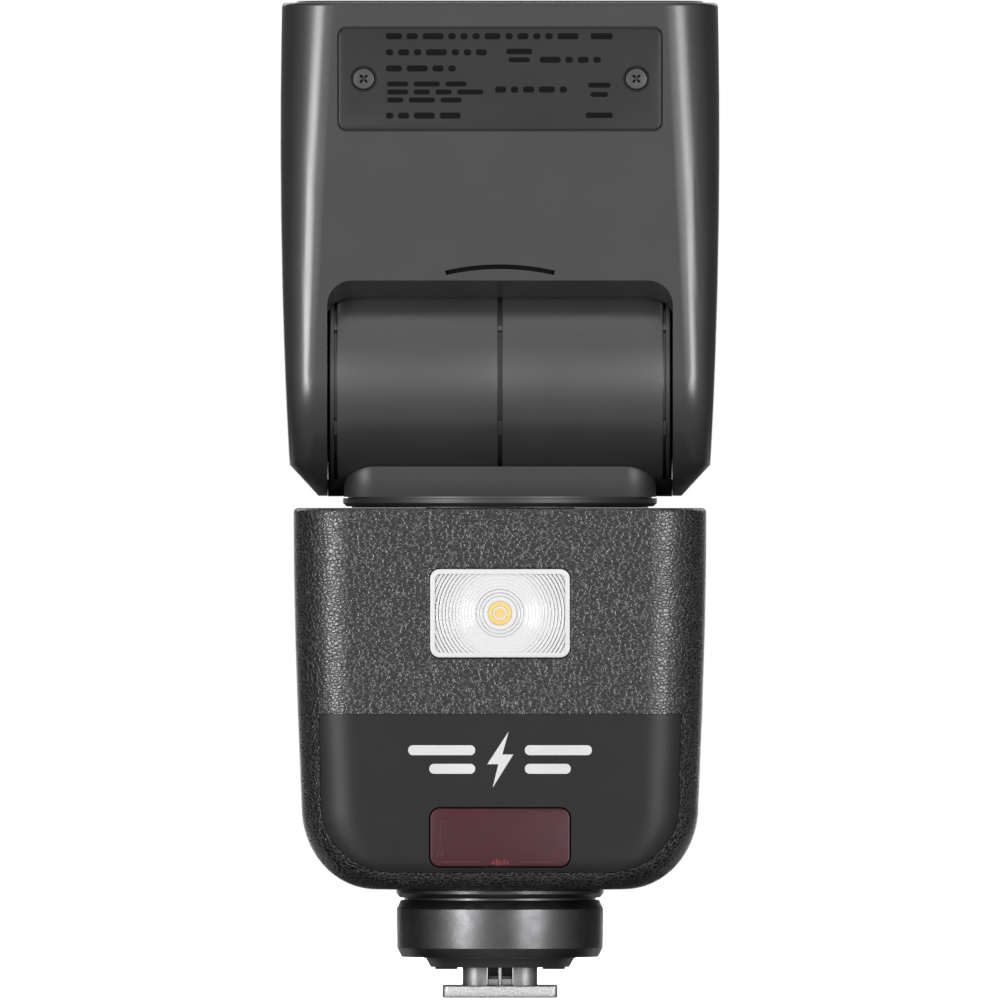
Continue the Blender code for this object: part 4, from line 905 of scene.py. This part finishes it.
def rear_marks():
    """Plain symbols on and beside the rear controls, and the border printed round the screen."""
    menu, mode, test = button_places()
    lines = [bar(menu[0] - 1.1, menu[0] + 1.1, menu[1] + dz - 0.14, menu[1] + dz + 0.14) for dz in (-0.75, 0, 0.75)]
    piece(plates("menu_mark", "Y", lines, 26.7, 26.81), SKIN["icon"], "menu_button", ())
    arm, half = 1.1, 0.17
    plus = [(-arm, -half), (-half, -half), (-half, -arm), (half, -arm), (half, -half), (arm, -half),
            (arm, half), (half, half), (half, arm), (-half, arm), (-half, half), (-arm, half)]
    plus = [(mode[0] + x, mode[1] + z) for x, z in plus]
    piece(plates("mode_mark", "Y", [plus], 26.7, 26.81), SKIN["icon"], "mode_button", ())
    bolt = bolt_outline(test[0], test[1], 0.33)
    piece(plates("test_mark", "Y", [bolt], 26.7, 26.81), SKIN["icon"], "test_button", ())
    ticks = []
    for quarter in range(4):
        turn = math.pi / 2 * quarter
        tick = [(7.1, -0.55), (8.1, 0.0), (7.1, 0.55)]
        ticks.append([(a * math.cos(turn) - b * math.sin(turn), DIAL_Z + a * math.sin(turn) + b * math.cos(turn))
                      for a, b in tick])
    piece(plates("dial_ticks", "Y", ticks, 27.3, 27.44), SKIN["icon"], "control_dial", ())
    dot = bar(11.35, 12.05, 25.15, 25.85, 0.5, 6)
    piece(plates("switch_dot", "Y", [dot], 26.1, 26.33), SKIN["icon"], "control_body", ())
    border = soft_box("screen_border", "Y", (-24.45, 26.1, 42.55), (24.45, 26.24, 74.95), 2.45, 0.03, 10)
    carve(border, cut=[prism("view", "Y", rounded_rectangle((-22.4, 45.2), (22.4, 72.9), 0.8, 6), 25, 28)])
    piece(border, SKIN["control"], "control_body", ())


def port_marks():
    """Raised outlines of the two sockets on the soft cover."""
    shapes = (
        ("slot", rounded_rectangle((-1.6, 44.2), (7.6, 47.8), 1.7, 8), rounded_rectangle((-1.25, 44.55), (7.25, 47.45), 1.4, 8)),
        ("round", arc((3.0, 35.0), (2.7, 2.7), 0, 350, 35), arc((3.0, 35.0), (2.35, 2.35), 0, 350, 35)),
    )
    for word, outer, inner in shapes:
        mark = body_form(f"port_mark_{word}", -0.12)
        carve(mark, keep=[prism("outer", "X", outer, 25, 40)], cut=[body_form("under", 0.3), prism("inner", "X", inner, 25, 40)])
        piece(mark, SKIN["rubber"], "port_cover", ())


def side_parts():
    cap = body_form("grip_battery_cap")
    outline = rounded_rectangle((-7.8, 24.2), (13.8, 61.8), 2.3, 10)
    carve(cap, keep=[prism("cap_form", "X", outline, -40, -29.6)],
          cut=[rod("grip", "Y", (-37.6, 43.0), -2, 8, 6.0, 64)]
          + [block("grip_line", (-36, -6.0, z - 0.25), (-32.15, 12.0, z + 0.25))
             for z in (50.5, 52.0, 53.5, 55.0, 56.5)])
    piece(cap, SKIN["black"], "battery", ["battery_cap"])
    release = body_form("release_key")
    carve(release, keep=[prism("key_form", "X", rounded_rectangle((-13.0, 38.0), (-10.0, 48.0), 0.8, 6), -40, -29.4)],
          cut=[block("key_line", (-36, -12.2, z - 0.2), (-32.25, -10.8, z + 0.2)) for z in (41.5, 43.0, 44.5)])
    piece(release, SKIN["control"], "battery_release", ["battery_release"])
    cover = body_form("soft_port_cover")
    carve(cover, keep=[prism("cover_form", "X", rounded_rectangle((-4.0, 28.0), (10.0, 52.0), 1.5, 8), 25, 40)],
          cut=[body_form("cover_back", 1.4), rod("thumb", "Z", (34.6, -3.4), 36, 44, 2.6, 32)])
    piece(cover, SKIN["rubber"], "port_cover", ["port_cover"])
    port_marks()


# ---------------------------------------------------------------- foot


def foot_parts():
    ring = turned("turned_lock_ring", "Z", (0, 0), eased([
        (16.05, 15.7), (16.76, 14.26), (16.65, 7.96), (15.9, 6.5), (12.9, 6.5), (12.9, 13.6), (9.0, 13.6),
        (9.0, 15.7)], 0.1), 160)
    piece(ring, SKIN["anodised"], "lock_ring", ["lock_ring"], 22)
    flange = turned("turned_flange", "Z", (0, 0), eased([
        (16.76, 17.4), (16.76, 16.76), (16.2, 16.1), (9.0, 16.1), (9.0, 17.4)], 0.1), 160)
    piece(flange, SKIN["anodised"], "control_body", ["shoe_flange"], 22)
    seal = turned("ring_seal", "Z", (0, 0), [(15.5, 15.74), (15.5, 16.06), (10.0, 16.06), (10.0, 15.74)], 128)
    piece(seal, SKIN["anodised"], "control_body", ())
    clamp = turned("turned_clamp", "Z", (0, 0), eased([
        (12.3, 12.0), (12.3, 6.3), (12.0, 6.3), (11.2, 4.86), (5.0, 4.86), (5.0, 6.3), (9.1, 6.3),
        (9.1, 12.0)], 0.08), 96)
    carve(clamp, cut=[block("stem_way", (-6.35, -8, 4), (6.35, 8, 6.8))])
    piece(clamp, SKIN["black"], "clamp", ["clamp_plate"], 25)
    foot = soft_box("blasted_foot", "Z", (-9.3, -9, 0), (9.3, 9, 1.9), 1.0, 0.22)
    carve(foot, cut=[block("pocket", (-5.2, -4.6, -1), (5.2, 6.2, 1.3)), block("channel", (-2.1, -12, 1.9), (2.1, 12, 9)),
                     rod("pin_way", "Z", (0, -6.6), -2, 4, 1.2, 32)])
    piece(foot, SKIN["blasted"], "control_body", ["shoe_foot"])
    stem = soft_box("foot_stem", "Z", (-6.05, -4.7, 1.7), (6.05, 7.2, 6.9), 2.8, 0.1, 16)
    carve(stem, cut=[block("channel", (-2.1, -12, 1.9), (2.1, 12, 9))])
    piece(stem, SKIN["milled"], "control_body", ())
    riser = block("ducted_riser", (-2.05, -3.9, 3.05), (2.05, 6.6, 6.85))
    carve(riser, cut=[block("bay", (side * 1.1 - 0.8, -6, 3.4), (side * 1.1 + 0.8, -1.5, 9)) for side in (-1, 1)])
    piece(riser, SKIN["black"], "control_body", ["contact_riser"])
    sill = soft_box("riser_sill", "Z", (-2.06, -4.3, 1.92), (2.06, 6.6, 3.0), 0.2, 0.06)
    piece(sill, SKIN["milled"], "control_body", ())
    pin = turned("stepped_lock_pin", "Z", (0, -6.6), eased([
        (0, 10.8), (0.9, 10.8), (0.9, 5.2), (0.34, 4.9), (0.34, 0.6), (0.2, 0.12), (0, 0.12)],
        0.08), 40)
    piece(pin, SKIN["steel"], "lock_pin", ["lock_pin"])
    spring = turned("riser_pin", "Z", (0, -3.95), [(0, 3.0), (0.22, 3.0), (0.22, 6.85), (0, 6.85)], 24)
    piece(spring, SKIN["steel"], "control_body", ())


# ---------------------------------------------------------------- carried-over CAD nodes


CARRIED = {
    "steel": ("foot_spindle", "usb_socket", "swivel_retainer", "tilt_axle", "zoom_motor",
              "zoom_screw", "guide_rod"),
    "black": ("contact_block", "display_module", "barrel_core", "zoom_carriage"),
    "rubber": ("clamp_pad_left", "clamp_pad_right"),
    "white": ("modelling_housing", "tilt_bush_left", "tilt_bush_right", "bounce_card"),
    "lens": ("wide_panel",),
    "mirror": ("reflector",),
    "led": ("modelling_led",),
    "tube": ("flash_tube",),
    "gold": ("shoe_contacts", "sync_jack"),
    "board": ("assist_module", "main_board", "charge_board"),
    "wrap": ("main_capacitor", "battery_pack"),
}


def dress_carried_nodes():
    for skin, names in CARRIED.items():
        for name in names:
            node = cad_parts[name]
            node.data.materials.clear()
            node.data.materials.append(SKIN[skin])
            bevel = node.modifiers.new("soft_edges", "BEVEL")
            bevel.width = 0.08 * MM
            bevel.segments = 2
            bevel.limit_method = "ANGLE"
            bevel.angle_limit = math.radians(50)
            bevel.harden_normals = False


# ---------------------------------------------------------------- studio


def area_light(name, azimuth, elevation, distance, size, radiance):
    """A soft light. Azimuth 0 is the camera's side, and positive is towards +X."""
    data = bpy.data.lights.new(name, "AREA")
    data.shape = "RECTANGLE"
    data.size, data.size_y = size
    data.energy = radiance * math.pi * size[0] * size[1]
    light = bpy.data.objects.new(name, data)
    a, e = math.radians(azimuth), math.radians(elevation)
    target = Vector((0, 0, 90.0 * MM))
    away = Vector((math.sin(a) * math.cos(e), -math.cos(a) * math.cos(e), math.sin(e)))
    light.location = target + away * distance
    light.rotation_euler = (-away).to_track_quat("-Z", "Y").to_euler()
    light.visible_camera = False
    bpy.context.scene.collection.objects.link(light)


# The studio's brightness by elevation in degrees, as a light tent gives in front of the object.
TENT = ((-90, 0.6), (-50, 0.45), (-32, 0.5), (-20, 0.8), (-3, 1.45), (12, 1.0), (25, 0.85), (40, 0.95), (58, 1.5),
        (76, 4.5), (90, 4.5))
TENT_PEAK = 4.5


def light_tent():
    """White to the camera. To the object, a tent that is brightest low in front and overhead, dim behind."""
    world = bpy.data.worlds.new("studio_white")
    world.use_nodes = True
    tree = world.node_tree
    background = tree.nodes["Background"]
    coordinates = tree.nodes.new("ShaderNodeTexCoord")
    parts = tree.nodes.new("ShaderNodeSeparateXYZ")
    tree.links.new(coordinates.outputs["Generated"], parts.inputs[0])

    level = tree.nodes.new("ShaderNodeMapRange")
    level.inputs["From Min"].default_value = -1.0
    tree.links.new(parts.outputs["Z"], level.inputs["Value"])
    ramp = tree.nodes.new("ShaderNodeValToRGB")
    stops = ramp.color_ramp.elements
    while len(stops) < len(TENT):
        stops.new(0.5)
    for stop, (elevation, radiance) in zip(stops, TENT):
        stop.position = (math.sin(math.radians(elevation)) + 1) / 2
        share = radiance / TENT_PEAK
        stop.color = (share, share, share, 1.0)
    tree.links.new(level.outputs["Result"], ramp.inputs["Fac"])

    facing = tree.nodes.new("ShaderNodeMapRange")
    facing.inputs["From Min"].default_value = -0.6
    facing.inputs["From Max"].default_value = 0.15
    facing.inputs["To Min"].default_value = TENT_PEAK
    facing.inputs["To Max"].default_value = TENT_PEAK * 0.1
    tree.links.new(parts.outputs["Y"], facing.inputs["Value"])
    product = tree.nodes.new("ShaderNodeMath")
    product.operation = "MULTIPLY"
    tree.links.new(ramp.outputs["Color"], product.inputs[0])
    tree.links.new(facing.outputs["Result"], product.inputs[1])

    rays = tree.nodes.new("ShaderNodeLightPath")
    choice = tree.nodes.new("ShaderNodeMix")
    tree.links.new(rays.outputs["Is Camera Ray"], choice.inputs[0])
    tree.links.new(product.outputs[0], choice.inputs[2])
    choice.inputs[3].default_value = 1.0
    tree.links.new(choice.outputs[0], background.inputs["Strength"])
    background.inputs["Color"].default_value = (1.0, 1.0, 1.0, 1.0)
    bpy.context.scene.world = world


def studio():
    scene = bpy.context.scene
    scene.view_settings.view_transform = "Standard"
    floor_bm = bmesh.new()
    bmesh.ops.create_grid(floor_bm, x_segments=1, y_segments=1, size=1600)
    floor = object_from(floor_bm, "floor")
    pale = Surface("pale_floor", (0.93, 0.93, 0.93), 0.85)
    pale.shader.inputs["Emission Color"].default_value = (1.0, 1.0, 1.0, 1.0)
    pale.shader.inputs["Emission Strength"].default_value = 1.0
    floor.data.materials.append(pale.material)
    floor.visible_glossy = False
    floor.visible_diffuse = False
    floor.location.z = -0.0002

    light_tent()
    area_light("strip_left", -40, 0, 0.62, (0.20, 0.26), 25.0)
    area_light("strip_right", 35, 0, 0.62, (0.20, 0.26), 19.0)
    area_light("back_panel", 180, 34, 0.9, (0.9, 0.4), 2.0)
    area_light("back_low", 180, -5, 0.9, (0.8, 0.26), 1.4)
    area_light("back_low_left", -140, -22, 0.9, (0.5, 0.32), 0.5)
    area_light("back_low_right", 140, -22, 0.9, (0.5, 0.32), 0.5)
    area_light("back_left", -152, 22, 0.9, (0.1, 0.4), 5.0)
    area_light("back_right", 152, 22, 0.9, (0.1, 0.4), 5.0)

    data = bpy.data.cameras.new("camera")
    camera = bpy.data.objects.new("camera", data)
    distance, width = 6.0, 0.1615
    data.sensor_width = 36.0
    data.lens = 36.0 * (distance - 0.012) / width
    camera.location = (0.0, -distance, 0.0804)
    camera.rotation_euler = (math.radians(90.0), 0.0, 0.0)
    data.clip_end = 20.0
    scene.collection.objects.link(camera)
    scene.camera = camera


head_casing()
service_cover()
flash_window()
barrel_halves()
neck_parts()
body_casing()
front_panel()
modelling_light()
assist_window()
rear_controls()
side_parts()
foot_parts()
dress_carried_nodes()
studio()
